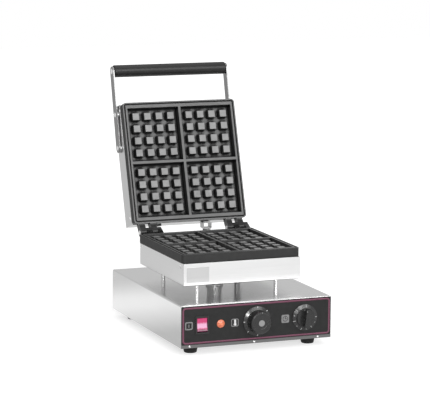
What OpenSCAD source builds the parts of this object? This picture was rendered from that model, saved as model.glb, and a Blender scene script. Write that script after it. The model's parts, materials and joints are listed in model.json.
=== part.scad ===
// Counter-top waffle baker: one square head with two studded cast plates, on a flat control base.
// Millimetres. +X to the user's right, +Y to the back, +Z up. The floor is z = 0, and the lid
// is drawn open, leaning back on its stop. The lid's pieces are drawn shut and then swung open.

/* [Base] */
// Width of the base
base_w = 305; // [290:1:340]
// Depth of the base, control panel included
base_d = 395; // [370:1:440]
// Height of the base housing, without its feet
base_h = 81; // [75:1:110]
// Sheet thickness of the base housing and its bottom plate
base_t = 1.2; // [0.8:0.1:2]
// Outside radius of the housing's bends
base_r = 3; // [2.2:0.2:5]
// Width of the frame behind the control panel
frame_w = 9; // [6:0.5:12]
// Height of the bottom plate's folded front lip
lip_h = 6; // [5:0.5:8]
// Distance of the front lip's outer screws from the sides of the base
lip_in = 21.5; // [18:0.5:40]
// Length of the vent slots in the bottom plate
vent_l = 60; // [40:1:80]

/* [Feet] */
// Height of a foot
foot_h = 16; // [12:0.5:25]
// Diameter of a foot at the base
foot_top_d = 30; // [26:0.5:36]
// Diameter of a foot at the floor
foot_low_d = 25; // [20:0.5:28]
// Radius of a foot's lower edge
foot_r = 2.5; // [1:0.25:3]
// Distance of a foot's centre from the side of the base
foot_in_x = 32; // [26:1:45]
// Distance of a foot's centre from the front or the back
foot_in_y = 37; // [28:1:50]

/* [Control panel] */
// Thickness of the black panel
panel_t = 1.5; // [1:0.1:2.5]
// Height of the controls' centre line above the bottom of the base
ctrl_z = 42.5; // [38:0.5:48]
// Distance of the rocker switch from the left side of the base
rocker_in = 41.5; // [36:0.5:50]
// Distance of the pilot lamp from the left side of the base
lamp_in = 79; // [72:0.5:84]
// Distance of the timer knob from the right side of the base
timer_in = 55; // [44:0.5:66]
// Width of the rocker
rocker_w = 20.5; // [18:0.5:22]
// Height of the rocker
rocker_h = 25.5; // [23:0.5:28]
// Tilt of the rocker from one side to the other
rocker_tilt = 14; // [8:1:16]
// Diameter of the pilot lamp's lens
lamp_d = 16; // [12:0.5:18]

/* [Knobs] */
// Diameter of the thermostat dial's skirt
dial_d = 57; // [50:0.5:64]
// Diameter of the thermostat dial's grip at the front
cap_d = 41; // [34:0.5:46]
// Distance the thermostat dial stands out of the panel
dial_h = 24; // [18:0.5:30]
// Diameter of the silver disc on the thermostat dial
disc_d = 12; // [8:0.5:16]
// Diameter of the timer knob's skirt
timer_d = 51; // [44:0.5:56]
// Distance the timer knob stands out of the panel
timer_h = 20; // [16:0.5:26]
// Width of the timer knob's finger bar
bar_grip_w = 10; // [7:0.5:13]
// Thickness of both skirts
skirt_t = 4; // [3:0.5:5]
// Diameter of both control shafts
shaft_d = 6; // [5:0.5:8]

/* [Head] */
// Distance the plates stand out from the sides of the tray and of the lid's cover
plate_lap = 1; // [0.5:0.25:3]
// Depth of the lower tray and of the lid's cover
tray_d = 247; // [235:1:255]
// Height of the lower tray
tray_h = 43; // [36:1:60]
// Sheet thickness of the tray and the cover
tray_t = 1.2; // [0.8:0.1:2]
// Distance of the tray's front behind the control panel
tray_setback = 74; // [60:1:90]
// Air gap between the base and the tray
head_gap = 21.5; // [15:0.5:30]
// Diameter of a post
post_d = 8; // [6:0.5:12]
// Distance of a post from the side of the tray
post_in_x = 38; // [25:1:60]
// Distance of a post from the front or the back of the tray
post_in_y = 30; // [20:1:50]
// Height of the lid's cover
cover_h = 43; // [38:1:60]

/* [Waffle plates] */
// Width of a plate
plate_w = 242; // [230:1:260]
// Depth of a plate
plate_d = 247; // [238:1:265]
// Thickness of a plate's visible edge
plate_t = 17; // [16:0.5:22]
// Plan radius of a plate's corners
plate_r = 7; // [4:0.5:10]
// Radius of a plate's outer edge at the hinge side
heel_r = 6; // [3:0.5:9]
// Distance of the lower plate's front behind the tray's front
plate_setback = 5; // [1:0.5:8]
// Height of the part of a plate that sits inside its sheet-metal pan
boss_h = 12; // [10:0.5:16]
// Studs along each side of one compartment
studs = 4; // [3:1:4]
// Width of the rim outside the compartments
rim_w = 9.2; // [8:0.2:14]
// Width of a stud at its top
stud_top = 13.6; // [11:0.2:14]
// Draft of the studs and walls: how far each side leans over its height
draft = 1.8; // [1:0.1:2.4]
// Depth of a compartment
cell_depth = 13; // [10:0.5:15]
// Distance of the stud tops below the rim
stud_drop = 2; // [1:0.25:4]
// Width of the channel between the outer studs and the wall
margin = 7; // [5:0.25:8]
// Width of the dividing ribs at the rim
rib_w = 5.2; // [4:0.2:7]
// Width of the overflow groove in the rim
groove_w = 3; // [2:0.25:4]
// Depth of the overflow groove
groove_h = 1.5; // [1:0.25:2.5]
// Gap between the two rims with the lid shut
rim_gap = 0.5; // [0.3:0.1:1]

/* [Hinge] */
// Distance of the hinge axis behind the plates
hinge_back = 18.5; // [17:0.25:24]
// Distance of the hinge axis below the lower rim
hinge_drop = 0.5; // [0:0.1:1]
// Angle that the lid opens through
open_angle = 107.6; // [95:0.2:115]
// Distance of each hinge's middle from the side of the plates
hinge_in = 27.5; // [27:0.5:40]
// Shift of both hinges to the right, which leaves room for the pins' heads
hinge_shift = 3.5; // [0:0.5:4]
// Diameter of a hinge pin
pin_d = 7; // [6:0.5:9]
// Radius of the hinge lugs
lug_r = 9; // [8:0.5:11]
// Width of a lid lug
lid_lug_w = 12; // [9:0.5:13]
// Width of the lower plate's inner lug
low_lug_w = 11; // [8:0.5:12]
// Width of the lower plate's outer lug
end_lug_w = 8; // [6:0.5:9]
// Side clearance between neighbouring lugs
lug_gap = 0.4; // [0.3:0.1:1]
// Distance of the stop loop from the middle
loop_x = 32; // [20:1:45]
// Outside width of the stop loop
loop_w = 19; // [15:0.5:24]
// Thickness of the stop loop's strip
loop_t = 2.5; // [2:0.25:3]

/* [Handle] */
// Distance of the grip's axis in front of the shut lid's plate
grip_reach = 72.5; // [60:0.5:90]
// Height of the grip's axis above the shut lid's rim
grip_rise = 35; // [28:0.5:42]
// Diameter of the grip
grip_d = 25; // [20:0.5:30]
// Radius of the grip's ends
grip_r = 3; // [1:0.25:4]
// Diameter of the rod inside the grip
rod_d = 10; // [6:0.5:12]
// Width of a handle bar
arm_w = 20; // [14:0.5:22]
// Thickness of a handle bar
arm_t = 3; // [2:0.25:4]
// Thickness of the spacers between the lid's cover and the bars
spacer_t = 2; // [1:0.25:4]
// Distance of a bar's lower bolt behind the front of the lid's cover
arm_tail = 84.5; // [80:0.5:100]
// Height of a bar's lower bolt above the shut lid's rim
tail_rise = 45; // [32:0.5:46]
// Distance between a bar's two bolts
arm_pitch = 68; // [50:0.5:72]

/* [Heating] */
// Diameter of the tubular heating elements
element_d = 8.5; // [6.5:0.25:10]
// Distance between the runs of an element
run_pitch = 44; // [36:1:50]
// Length of the straight runs of an element
run_l = 130; // [110:1:150]
// Diameter of the thermostat's sensing bulb
bulb_d = 6; // [4:0.5:6]

/* [Fits] */
// Radial clearance of pins, shafts and trunnions in their bores
run_fit = 0.05; // [0.02:0.01:0.1]
// Clearance between pieces that are fitted together
seat = 0.3; // [0.2:0.05:0.4]

/* [Hidden] */
$fn = 64;
eps = 0.01;

feet_at = [["fl", -1, 0], ["fr", 1, 0], ["rl", -1, 1], ["rr", 1, 1]];

// levels and lines that the pieces share
tray_w = plate_w - 2 * plate_lap;
base_z = foot_h;
deck_z = base_z + base_h;
tray_z = deck_z + head_gap;
pan_z = tray_z + tray_h;
rim_z = pan_z + plate_t;
tray_y = tray_setback;
tray_mid = tray_y + tray_d / 2;
plate_y = tray_y + plate_setback;
plate_end = plate_y + plate_d;
plate_mid = plate_y + plate_d / 2;
hinge_x = plate_w / 2 - hinge_in;
hinge_y = plate_end + hinge_back;
hinge_z = rim_z - hinge_drop;
lid_z = rim_z + rim_gap;
controls_z = base_z + ctrl_z;
rocker_x = base_w / 2 - rocker_in;
lamp_x = base_w / 2 - lamp_in;
timer_x = base_w / 2 - timer_in;

// one compartment of a plate
cell_top = (min(plate_w, plate_d) - 2 * rim_w - rib_w) / 2;
cell_pitch = cell_top + rib_w;
stud_pitch = (cell_top - 4 * draft - 2 * margin - stud_top) / max(studs - 1, 1);
slope = draft / cell_depth;

// part of a plate that sits in its pan
boss_w = tray_w - 2 * tray_t - 2 * seat;
boss_y = max(plate_y, tray_y + tray_t) + seat;
boss_end = min(plate_end - heel_r, tray_y + tray_d - tray_t) - seat;

// the lid's cover is centred on its plate
cover_y = plate_mid - tray_d / 2;
cover_z = lid_z + plate_t;
lid_boss_y = max(plate_y, cover_y + tray_t) + seat;
lid_boss_end = min(plate_end - heel_r, cover_y + tray_d - tray_t) - seat;

// handle, with the lid shut
grip_y = plate_y - grip_reach;
grip_z = lid_z + grip_rise;
tail_y = cover_y + arm_tail;
tail_z = lid_z + tail_rise;
arm_angle = atan2(grip_z - tail_z, grip_y - tail_y);
arm_x = tray_w / 2 + spacer_t;

// a point of the shut lid, swung open
function opened_y(y, z) = hinge_y + (y - hinge_y) * cos(open_angle) + (z - hinge_z) * sin(open_angle);

// the origin is on the floor, under the middle of the open machine
front_y = -max(dial_h, timer_h);
back_y = max(
    base_d,
    opened_y(grip_y, grip_z) + grip_d / 2,
    opened_y(cover_y, cover_z + cover_h)
);
mid_y = (front_y + back_y) / 2;

// sizes of small standard pieces
screw_head_d = 7.5;
screw_head_h = 2;
small_head_d = 5;
small_head_h = 1.6;
lug_bore = pin_d / 2 + run_fit;

module placed() {
    translate([0, -mid_y, 0]) children();
}

module swung() {
    placed()
        translate([0, hinge_y, hinge_z])
            rotate([-open_angle, 0, 0])
                translate([0, -hinge_y, -hinge_z])
                    children();
}

// 2-D rectangle with round corners, centred
module round_rect(w, d, r) {
    square([w - 2 * r, d], center = true);
    square([w, d - 2 * r], center = true);
    for (sx = [-1, 1], sy = [-1, 1])
        translate([sx * (w / 2 - r), sy * (d / 2 - r)]) circle(r);
}

// a profile drawn in (Y, Z), pushed along X
module along_x(x0, x1) {
    translate([x0, 0, 0]) rotate([90, 0, 90]) linear_extrude(x1 - x0) children();
}

// a profile drawn in (X, Z), pushed along Y
module along_y(y0, y1) {
    translate([0, y1, 0]) rotate([90, 0, 0]) linear_extrude(y1 - y0) children();
}

module block(x0, x1, y0, y1, z0, z1) {
    translate([x0, y0, z0]) cube([x1 - x0, y1 - y0, z1 - z0]);
}

// a rod along X or Y between two ends
module rod_x(d, x0, x1, y, z) {
    translate([x0, y, z]) rotate([0, 90, 0]) cylinder(d = d, h = x1 - x0);
}

module rod_y(d, y0, y1, x, z) {
    translate([x, y1, z]) rotate([90, 0, 0]) cylinder(d = d, h = y1 - y0);
}

module rod_z(d, z0, z1, x, y) {
    translate([x, y, z0]) cylinder(d = d, h = z1 - z0);
}

// a round-headed screw whose head sits on the plane z = 0 and whose shank goes down
module screw(head_d, head_h, shank_d, shank_l) {
    dome_r = (head_d * head_d / 4 + head_h * head_h) / (2 * head_h);
    union() {
        intersection() {
            translate([0, 0, head_h - dome_r]) sphere(dome_r);
            cylinder(d = head_d, h = head_h + 1);
        }
        translate([0, 0, -shank_l]) cylinder(d = shank_d, h = shank_l + eps);
    }
}

// ---------------------------------------------------------------- base

// an inverted sheet-metal box: the outline of a bent cover seen from one side
module arch(w, z0, z1, r) {
    translate([-w / 2, z0]) square([w, z1 - z0 - r]);
    translate([-w / 2 + r, z0]) square([w - 2 * r, z1 - z0]);
    for (s = [-1, 1]) translate([s * (w / 2 - r), z1 - r]) circle(r);
}

// solid box from y0 to y1 with its four top edges rounded
module arched_box(w, y0, y1, z0, z1, r) {
    intersection() {
        along_y(y0, y1) arch(w, z0, z1, r);
        along_x(-w, w) translate([(y0 + y1) / 2, 0]) arch(y1 - y0, z0, z1, r);
    }
}

post_x = tray_w / 2 - post_in_x;
post_y0 = tray_y + post_in_y;
post_y1 = tray_y + tray_d - post_in_y;
stud_d = 4;
stud_hole_d = stud_d + seat;
duct_d = 28;
duct_wall = 3;
duct_x = -20;
duct_y = tray_mid - 27;
duct_lap = 6;
sleeve_d = 9;
sleeve_x = 35;
sleeve_y = tray_mid - 7;
gland_x = -base_w / 2 + 47.5;
gland_z = base_z + 30;
gland_thread_d = 16;
gland_bore_d = 9.2;
lip_screw_x = [-base_w / 2 + lip_in, 0, base_w / 2 - lip_in];
lip_screw_shift = -5;
lip_screw_z = base_z + lip_h - 2.7;
lip_screw_d = 3;
lip_screw_l = 7;

module at_posts() {
    for (x = [-post_x, post_x], y = [post_y0, post_y1]) translate([x, y, 0]) children();
}

module base_housing() {
    color([0.80, 0.80, 0.80]) placed() difference() {
        arched_box(base_w, panel_t, base_d, base_z, deck_z, base_r);
        arched_box(base_w - 2 * base_t, panel_t + base_t, base_d - base_t,
            base_z - 1, deck_z - base_t, base_r - base_t);
        // window behind the control panel
        block(-base_w / 2 + frame_w, base_w / 2 - frame_w, 0, panel_t + 2 * base_t,
            base_z + lip_h + frame_w / 2, deck_z - frame_w);
        // room for the bottom plate under the front wall
        block(-base_w / 2 + base_t, base_w / 2 - base_t, 0, panel_t + 2 * base_t,
            base_z - 1, base_z + base_t + seat);
        at_posts() rod_z(stud_hole_d, deck_z - 2 * base_t, deck_z + 1, 0, 0);
        rod_z(duct_d + 2 * seat, deck_z - 2 * base_t, deck_z + 1, duct_x, duct_y);
        rod_z(sleeve_d + 2 * seat, deck_z - 2 * base_t, deck_z + 1, sleeve_x, sleeve_y);
        rod_y(gland_thread_d + 2 * seat, base_d - 2 * base_t, base_d + 1, gland_x, gland_z);
        for (x = lip_screw_x)
            rod_y(lip_screw_d + seat, 0, panel_t + 2 * base_t, x + lip_screw_shift, lip_screw_z);
    }
}

foot_x = base_w / 2 - foot_in_x;
foot_screw_d = 5;
vents = 6;
vent_w = 5;
vent_pitch = 16;
vent_x = 12;

function foot_pos(f) = [f[1] * foot_x, f[2] == 0 ? foot_in_y : base_d - foot_in_y];

module bottom_plate() {
    edge = base_t + seat;
    color([0.74, 0.74, 0.74]) placed() difference() {
        union() {
            block(-base_w / 2 + edge, base_w / 2 - edge, base_t / 2, base_d - edge,
                base_z, base_z + base_t);
            block(-base_w / 2, base_w / 2, 0, base_t, base_z, base_z + lip_h);
        }
        for (x = lip_screw_x)
            rod_y(lip_screw_d + seat, -1, 2 * base_t, x + lip_screw_shift, lip_screw_z);
        for (f = feet_at)
            rod_z(foot_screw_d + seat, base_z - 1, base_z + 2 * base_t,
                foot_pos(f)[0], foot_pos(f)[1]);
        for (i = [0 : vents - 1], sx = [-1, 1])
            translate([sx * (vent_l / 2 + vent_x), base_d / 2 + (i - (vents - 1) / 2) * vent_pitch,
                base_z - 1])
                linear_extrude(2 * base_t + 1) round_rect(vent_l, vent_w, vent_w / 2 - eps);
    }
}

module lip_screws() {
    color([0.86, 0.86, 0.86]) placed()
        for (x = lip_screw_x)
            translate([x + lip_screw_shift, 0, lip_screw_z])
                rotate([90, 0, 0]) screw(small_head_d, small_head_h, lip_screw_d, lip_screw_l);
}

foot_recess_d = 11;
foot_recess_h = foot_h / 2;
foot_head_h = 2.5;
foot_grip = 8;

// half outline of a foot, with its lower edge rounded
module foot_profile() {
    r = foot_low_d / 2;
    polygon([
        [0, 0], [r - foot_r, 0], [r - foot_r, foot_r], [r, foot_r],
        [foot_top_d / 2, foot_h], [0, foot_h]
    ]);
    translate([r - foot_r, foot_r]) circle(foot_r);
}

module foot(f) {
    color([0.13, 0.13, 0.13]) placed() translate(foot_pos(f)) difference() {
        rotate_extrude() foot_profile();
        translate([0, 0, -1]) cylinder(d = foot_recess_d, h = foot_recess_h + 1);
        cylinder(d = foot_screw_d + seat, h = foot_h + 1);
    }
}

module foot_screws() {
    color([0.6, 0.6, 0.6]) placed()
        for (f = feet_at)
            translate([foot_pos(f)[0], foot_pos(f)[1], foot_recess_h])
                rotate([180, 0, 0])
                    screw(foot_recess_d - 2, foot_head_h, foot_screw_d, foot_h - foot_recess_h + foot_grip);
}

// ---------------------------------------------------------------- control panel

panel_z0 = base_z + lip_h + seat;
panel_z1 = deck_z - base_r / 2;
rocker_side = 1.5;
rocker_flange = 3.5;
rocker_flange_t = 1.6;
rocker_body_h = 16;
rocker_r = rocker_h / 2 + 0.6;
rocker_pivot_y = 4.5;
trunnion_d = 3;
frame_in_w = rocker_w + 2 * seat;
frame_in_h = 2 * (rocker_r + seat);
frame_out_w = frame_in_w + 2 * rocker_side;
frame_out_h = frame_in_h + 2 * rocker_side;
lamp_stem_d = 11;
lamp_body_d = 15;
bushing_d = 10;

module control_panel() {
    color([0.11, 0.11, 0.11]) placed() difference() {
        along_y(0, panel_t)
            translate([0, (panel_z0 + panel_z1) / 2]) round_rect(base_w, panel_z1 - panel_z0, 1);
        block(-rocker_x - frame_out_w / 2 - seat, -rocker_x + frame_out_w / 2 + seat,
            -1, panel_t + 1, controls_z - frame_out_h / 2 - seat, controls_z + frame_out_h / 2 + seat);
        rod_y(lamp_stem_d + 2 * seat, -1, panel_t + 1, -lamp_x, controls_z);
        rod_y(bushing_d + 2 * seat, -1, panel_t + 1, 0, controls_z);
        rod_y(bushing_d + 2 * seat, -1, panel_t + 1, timer_x, controls_z);
    }
}

module rocker_frame() {
    color([0.09, 0.09, 0.09]) placed() translate([-rocker_x, 0, controls_z]) difference() {
        union() {
            along_y(-rocker_flange_t, 0)
                round_rect(frame_out_w + rocker_flange, frame_out_h + rocker_flange, 1.5);
            along_y(-eps, rocker_body_h) square([frame_out_w, frame_out_h], center = true);
        }
        along_y(-rocker_flange_t - 1, rocker_body_h - rocker_side)
            square([frame_in_w, frame_in_h], center = true);
        rod_x(trunnion_d + 2 * run_fit, -frame_out_w, frame_out_w, rocker_pivot_y, 0);
    }
}

// outline of the rocker about its pivot: u forward, v up
module rocker_outline() {
    end_u = 6.6;
    mid_u = 3.8;
    back_u = 4;
    half = rocker_r + 1;
    intersection() {
        polygon([[back_u, -half + 4], [-end_u, -half], [-mid_u, 0], [-end_u, half], [back_u, half - 4]]);
        circle(rocker_r);
    }
}

module rocker() {
    color([0.86, 0.30, 0.52]) placed()
        translate([-rocker_x, rocker_pivot_y, controls_z]) rotate([-rocker_tilt / 2, 0, 0]) {
            along_x(-rocker_w / 2, rocker_w / 2) rocker_outline();
            for (s = [-1, 1])
                rod_x(trunnion_d, s * rocker_w / 2 - rocker_side, s * rocker_w / 2 + rocker_side, 0, 0);
        }
}

module lamp_lens() {
    color([0.90, 0.50, 0.32]) placed() translate([-lamp_x, 0, controls_z])
        rotate([90, 0, 0]) screw(lamp_d, 3.6, lamp_stem_d, 9);
}

module lamp_body() {
    nut_t = 3;
    color([0.16, 0.16, 0.16]) placed() translate([-lamp_x, 0, controls_z]) difference() {
        union() {
            rod_y(lamp_body_d + 5, panel_t, panel_t + nut_t, 0, 0);
            rod_y(lamp_body_d, panel_t, panel_t + 24, 0, 0);
        }
        rod_y(lamp_stem_d + 2 * seat, 0, 10, 0, 0);
    }
}

// ---------------------------------------------------------------- knobs, turned about Y

knob_air = 0.6;

module turned(x) {
    placed() translate([x, 0, controls_z]) rotate([90, 0, 0]) rotate_extrude($fn = 96) children();
}

module dial_profile() {
    cap_r = cap_d / 2;
    bevel = 1.6;
    polygon([
        [shaft_d / 2 + run_fit, knob_air], [dial_d / 2 - 0.6, knob_air],
        [dial_d / 2, knob_air + 0.6], [dial_d / 2, skirt_t / 2],
        [cap_r + 1.5, skirt_t + 1],
        [cap_r, dial_h - bevel], [cap_r - bevel, dial_h],
        [disc_d / 2 + seat, dial_h], [disc_d / 2 + seat, dial_h - 0.8],
        [0, dial_h - 0.8], [0, dial_h - 7], [shaft_d / 2 + run_fit, dial_h - 7]
    ]);
}

module thermostat_dial() {
    color([0.10, 0.10, 0.10]) turned(0) dial_profile();
}

module dial_disc() {
    color([0.78, 0.78, 0.78]) turned(0)
        translate([0, dial_h - 0.8]) square([disc_d / 2, 0.8]);
}

shaft_in = 8;

module dial_shaft() {
    color([0.7, 0.7, 0.7]) placed() rod_y(shaft_d, -dial_h + 7.2, panel_t + shaft_in, 0, controls_z);
}

// a switch box behind the panel, with the bushing that its shaft turns in
module switch_box(x, w, h, d) {
    placed() translate([x, 0, controls_z]) difference() {
        union() {
            rod_y(bushing_d, seat, panel_t + eps, 0, 0);
            along_y(panel_t, panel_t + d) round_rect(w, h, 3);
        }
        rod_y(shaft_d + 2 * run_fit, -1, panel_t + shaft_in + 0.5, 0, 0);
    }
}

thermostat_w = 44;
thermostat_box_h = 36;
thermostat_box_d = 30;
timer_w = 46;
timer_box_d = 26;

module thermostat() {
    color([0.82, 0.80, 0.74]) switch_box(0, thermostat_w, thermostat_box_h, thermostat_box_d);
}

module timer() {
    color([0.75, 0.75, 0.75]) switch_box(timer_x, timer_w, timer_w, timer_box_d);
}

module timer_shaft() {
    color([0.7, 0.7, 0.7]) placed()
        rod_y(shaft_d, -timer_h + 4.2, panel_t + shaft_in, timer_x, controls_z);
}

module timer_knob() {
    r = timer_d / 2;
    hub_r = r - 7;
    bar_l = 2 * hub_r - 1;
    bar_lean = 8;
    color([0.10, 0.10, 0.10]) difference() {
        union() {
            turned(timer_x) polygon([
                [0, knob_air], [r - 0.6, knob_air], [r, knob_air + 0.6],
                [r, skirt_t / 2], [hub_r, skirt_t + 0.8],
                [hub_r - 1.2, skirt_t + 3.4], [0, skirt_t + 3.4]
            ]);
            placed() translate([timer_x, 0, controls_z]) along_y(-timer_h, -skirt_t - 1)
                rotate(-bar_lean) round_rect(bar_grip_w, bar_l, bar_grip_w / 2 - eps);
        }
        placed() rod_y(shaft_d + 2 * run_fit, -timer_h + 4, 1, timer_x, controls_z);
    }
}

// ---------------------------------------------------------------- inside the base

ways = 3;
way_pitch = 12;
block_d = 24;
block_h = 18;
block_back = 75;
way_d = 6;

module terminal_block() {
    color([0.9, 0.9, 0.86]) placed() translate([gland_x, base_d - block_back, base_z + base_t])
    difference() {
        block(-ways * way_pitch / 2, ways * way_pitch / 2, 0, block_d, 0, block_h);
        for (i = [0 : ways - 1], y = [block_d / 4, 3 * block_d / 4])
            rod_z(way_d, block_h / 2, block_h + 1, (i - (ways - 1) / 2) * way_pitch, y);
    }
}

gland_out = 16;
gland_in = 10;

module cable_gland() {
    color([0.12, 0.12, 0.12]) placed() translate([gland_x, 0, gland_z]) difference() {
        union() {
            rod_y(gland_thread_d, base_d - base_t - gland_in, base_d + 1, 0, 0);
            translate([0, base_d + 6, 0]) rotate([90, 0, 0]) cylinder(d = 24, h = 6, $fn = 6);
            rod_y(19, base_d + 5, base_d + gland_out, 0, 0);
        }
        rod_y(gland_bore_d, base_d - base_t - gland_in - 1, base_d + gland_out + 1, 0, 0);
    }
}

module gland_nut() {
    color([0.12, 0.12, 0.12]) placed() translate([gland_x, base_d - base_t, gland_z]) difference() {
        rotate([90, 0, 0]) cylinder(d = 24, h = 5, $fn = 6);
        rod_y(gland_thread_d + 2 * run_fit, -6, 1, 0, 0);
    }
}

// ---------------------------------------------------------------- posts and passages

module post(f) {
    y = f[2] == 0 ? post_y0 : post_y1;
    color([0.82, 0.82, 0.82]) placed() translate([f[1] * post_x, y, 0]) union() {
        rod_z(post_d, deck_z, tray_z, 0, 0);
        rod_z(stud_d, deck_z - base_t - 4, tray_z + tray_t + 4, 0, 0);
    }
}

module wire_duct() {
    collar = 4;
    color([0.20, 0.20, 0.20]) placed() translate([duct_x, duct_y, 0]) difference() {
        union() {
            rod_z(duct_d, deck_z - duct_lap, tray_z + duct_lap, 0, 0);
            rod_z(duct_d + 6, deck_z, deck_z + collar, 0, 0);
        }
        rod_z(duct_d - 2 * duct_wall, deck_z - duct_lap - 1, tray_z + duct_lap + 1, 0, 0);
    }
}

module bulb_sleeve() {
    color([0.45, 0.45, 0.45]) placed() translate([sleeve_x, sleeve_y, 0]) difference() {
        rod_z(sleeve_d, deck_z - duct_lap, tray_z + duct_lap, 0, 0);
        rod_z(sleeve_d - 3, deck_z - duct_lap - 1, tray_z + duct_lap + 1, 0, 0);
    }
}

// quarter of a ring in the plane of the first two axes, from a given angle on
module bend(d, r, from) {
    rotate([0, 0, from]) rotate_extrude(angle = 90) translate([r, 0]) circle(d = d);
}

tube_d = 2;
tube_bend = 8;
bulb_l = 90;

// liquid-filled bulb under the lower plate, and its thin tube down to the thermostat
module sensing_bulb() {
    r = tube_bend;
    x0 = thermostat_w / 2;
    y0 = panel_t + thermostat_box_d / 2;
    bulb_z = pan_z - bulb_d / 2 - 0.1;
    color([0.72, 0.45, 0.2]) placed() union() {
        rod_x(tube_d, x0, sleeve_x - r, y0, controls_z);
        translate([sleeve_x - r, y0 + r, controls_z]) bend(tube_d, r, -90);
        rod_y(tube_d, y0 + r, sleeve_y - r, sleeve_x, controls_z);
        translate([sleeve_x, sleeve_y - r, controls_z + r]) rotate([90, 0, 90]) bend(tube_d, r, -90);
        rod_z(tube_d, controls_z + r, bulb_z - r, sleeve_x, sleeve_y);
        translate([sleeve_x, sleeve_y + r, bulb_z - r]) rotate([90, 0, 90]) bend(tube_d, r, 90);
        rod_y(tube_d, sleeve_y + r, sleeve_y + r + 3, sleeve_x, bulb_z);
        rod_y(bulb_d, sleeve_y + r + 2, sleeve_y + r + 2 + bulb_l, sleeve_x, bulb_z);
    }
}

// ---------------------------------------------------------------- both halves of the head
// Each half is drawn with its rim at z = 0 and its pan below. The lid's half is then mirrored.

module lower_half() {
    placed() translate([0, 0, rim_z]) children();
}

module upper_half() {
    swung() translate([0, 0, lid_z]) mirror([0, 0, 1]) children();
}

pan_r = tray_t + 1.5;
side_screw_d = 3;
side_screw_in = 7.5;
side_screw_y = [plate_y + 11.5, plate_end - 14.5];
bush_d = 14;
bush_x = -60;
bush_in = 22;

// sheet-metal pan, open at the rim's side, with its side screws' holes
module pan(y0, h) {
    difference() {
        mirror([0, 0, 1]) difference() {
            arched_box(tray_w, y0, y0 + tray_d, plate_t, plate_t + h, pan_r);
            arched_box(tray_w - 2 * tray_t, y0 + tray_t, y0 + tray_d - tray_t,
                plate_t - 1, plate_t + h - tray_t, pan_r - tray_t);
        }
        for (y = side_screw_y)
            rod_x(side_screw_d + seat, -tray_w, tray_w, y, -plate_t - side_screw_in);
        rod_y(bush_d + seat, y0 + tray_d - 2 * tray_t, y0 + tray_d + 1, bush_x, -plate_t - bush_in);
    }
}

module side_screws() {
    for (s = [-1, 1], y = side_screw_y)
        translate([s * tray_w / 2, y, -plate_t - side_screw_in])
            rotate([0, s * 90, 0]) screw(screw_head_d, screw_head_h, side_screw_d, 8);
}

// rubber bushing in a pan's rear wall, for the lead from one half to the other
module bushing(y0) {
    y = y0 + tray_d;
    translate([bush_x, 0, -plate_t - bush_in]) difference() {
        union() {
            rod_y(bush_d + 4, y, y + 2.5, 0, 0);
            rod_y(bush_d, y - tray_t - 2, y + 1, 0, 0);
        }
        rod_y(bush_d - 5, y - 10, y + 10, 0, 0);
    }
}

// drafted ridge along Y: wide at the bottom when the lean is positive
module ridge(a, z0, z1, l, lean = slope) {
    along_y(-l, l)
        polygon([[-a + z0 * lean, z0], [a - z0 * lean, z0], [a - z1 * lean, z1], [-a + z1 * lean, z1]]);
}

// hollow of one compartment, with its field of studs left standing
module compartment() {
    span = (studs - 1) / 2;
    half = stud_top / 2 - stud_drop * slope;
    difference() {
        intersection() {
            ridge(cell_top / 2, -cell_depth, 1, cell_pitch, -slope);
            rotate([0, 0, 90]) ridge(cell_top / 2, -cell_depth, 1, cell_pitch, -slope);
        }
        intersection() {
            for (i = [-span : span])
                translate([i * stud_pitch, 0, 0]) ridge(half, -cell_depth - 1, -stud_drop, cell_pitch);
            for (i = [-span : span])
                translate([0, i * stud_pitch, 0]) rotate([0, 0, 90])
                    ridge(half, -cell_depth - 1, -stud_drop, cell_pitch);
        }
    }
}

bead = 2.5;
skirt_wall = 6;
pillar_d = 12;
clamp_hole_d = 4;
clamp_t = 1.5;
clamp_lift = element_d + 0.2;
clamp_reach = 40;
pillars = [
    [-run_pitch, plate_mid - clamp_reach], [run_pitch, plate_mid - clamp_reach],
    [0, plate_mid + clamp_reach],
    [-1.5 * run_pitch - 14, plate_mid + clamp_reach], [1.5 * run_pitch + 14, plate_mid + clamp_reach]
];

// cast plate: rim at z = 0, compartments sunk into it, a skirt below that sits in the pan
module casting(y0, y1) {
    difference() {
        union() {
            intersection() {
                translate([0, plate_mid, -plate_t]) linear_extrude(plate_t)
                    round_rect(plate_w, plate_d, plate_r);
                along_x(-plate_w, plate_w) union() {
                    translate([plate_y, -plate_t + heel_r]) square([plate_d, plate_t]);
                    translate([plate_y, -plate_t]) square([plate_d - heel_r, plate_t]);
                    translate([plate_end - heel_r, -plate_t + heel_r]) circle(heel_r);
                }
            }
            difference() {
                block(-boss_w / 2, boss_w / 2, y0, y1, -plate_t - boss_h, -plate_t + eps);
                block(-boss_w / 2 + skirt_wall, boss_w / 2 - skirt_wall,
                    y0 + skirt_wall, y1 - skirt_wall, -plate_t - boss_h - 1, -plate_t);
            }
            for (p = pillars) rod_z(pillar_d, -plate_t - clamp_lift, -plate_t + eps, p[0], p[1]);
        }
        for (sx = [-1, 1], sy = [-1, 1])
            translate([sx * cell_pitch / 2, plate_mid + sy * cell_pitch / 2, 0]) compartment();
        translate([0, plate_mid, -groove_h]) linear_extrude(groove_h + 1) difference() {
            round_rect(plate_w - 2 * bead, plate_d - 2 * bead, plate_r - bead);
            round_rect(plate_w - 2 * bead - 2 * groove_w, plate_d - 2 * bead - 2 * groove_w,
                max(plate_r - bead - groove_w, 1));
        }
        for (y = side_screw_y)
            rod_x(side_screw_d + seat, -plate_w, plate_w, y, -plate_t - side_screw_in);
        for (p = pillars)
            rod_z(clamp_hole_d + seat, -plate_t - clamp_lift - 1, -plate_t - clamp_lift + 8, p[0], p[1]);
    }
}

element_z = -plate_t - element_d / 2 - 0.1;

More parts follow.
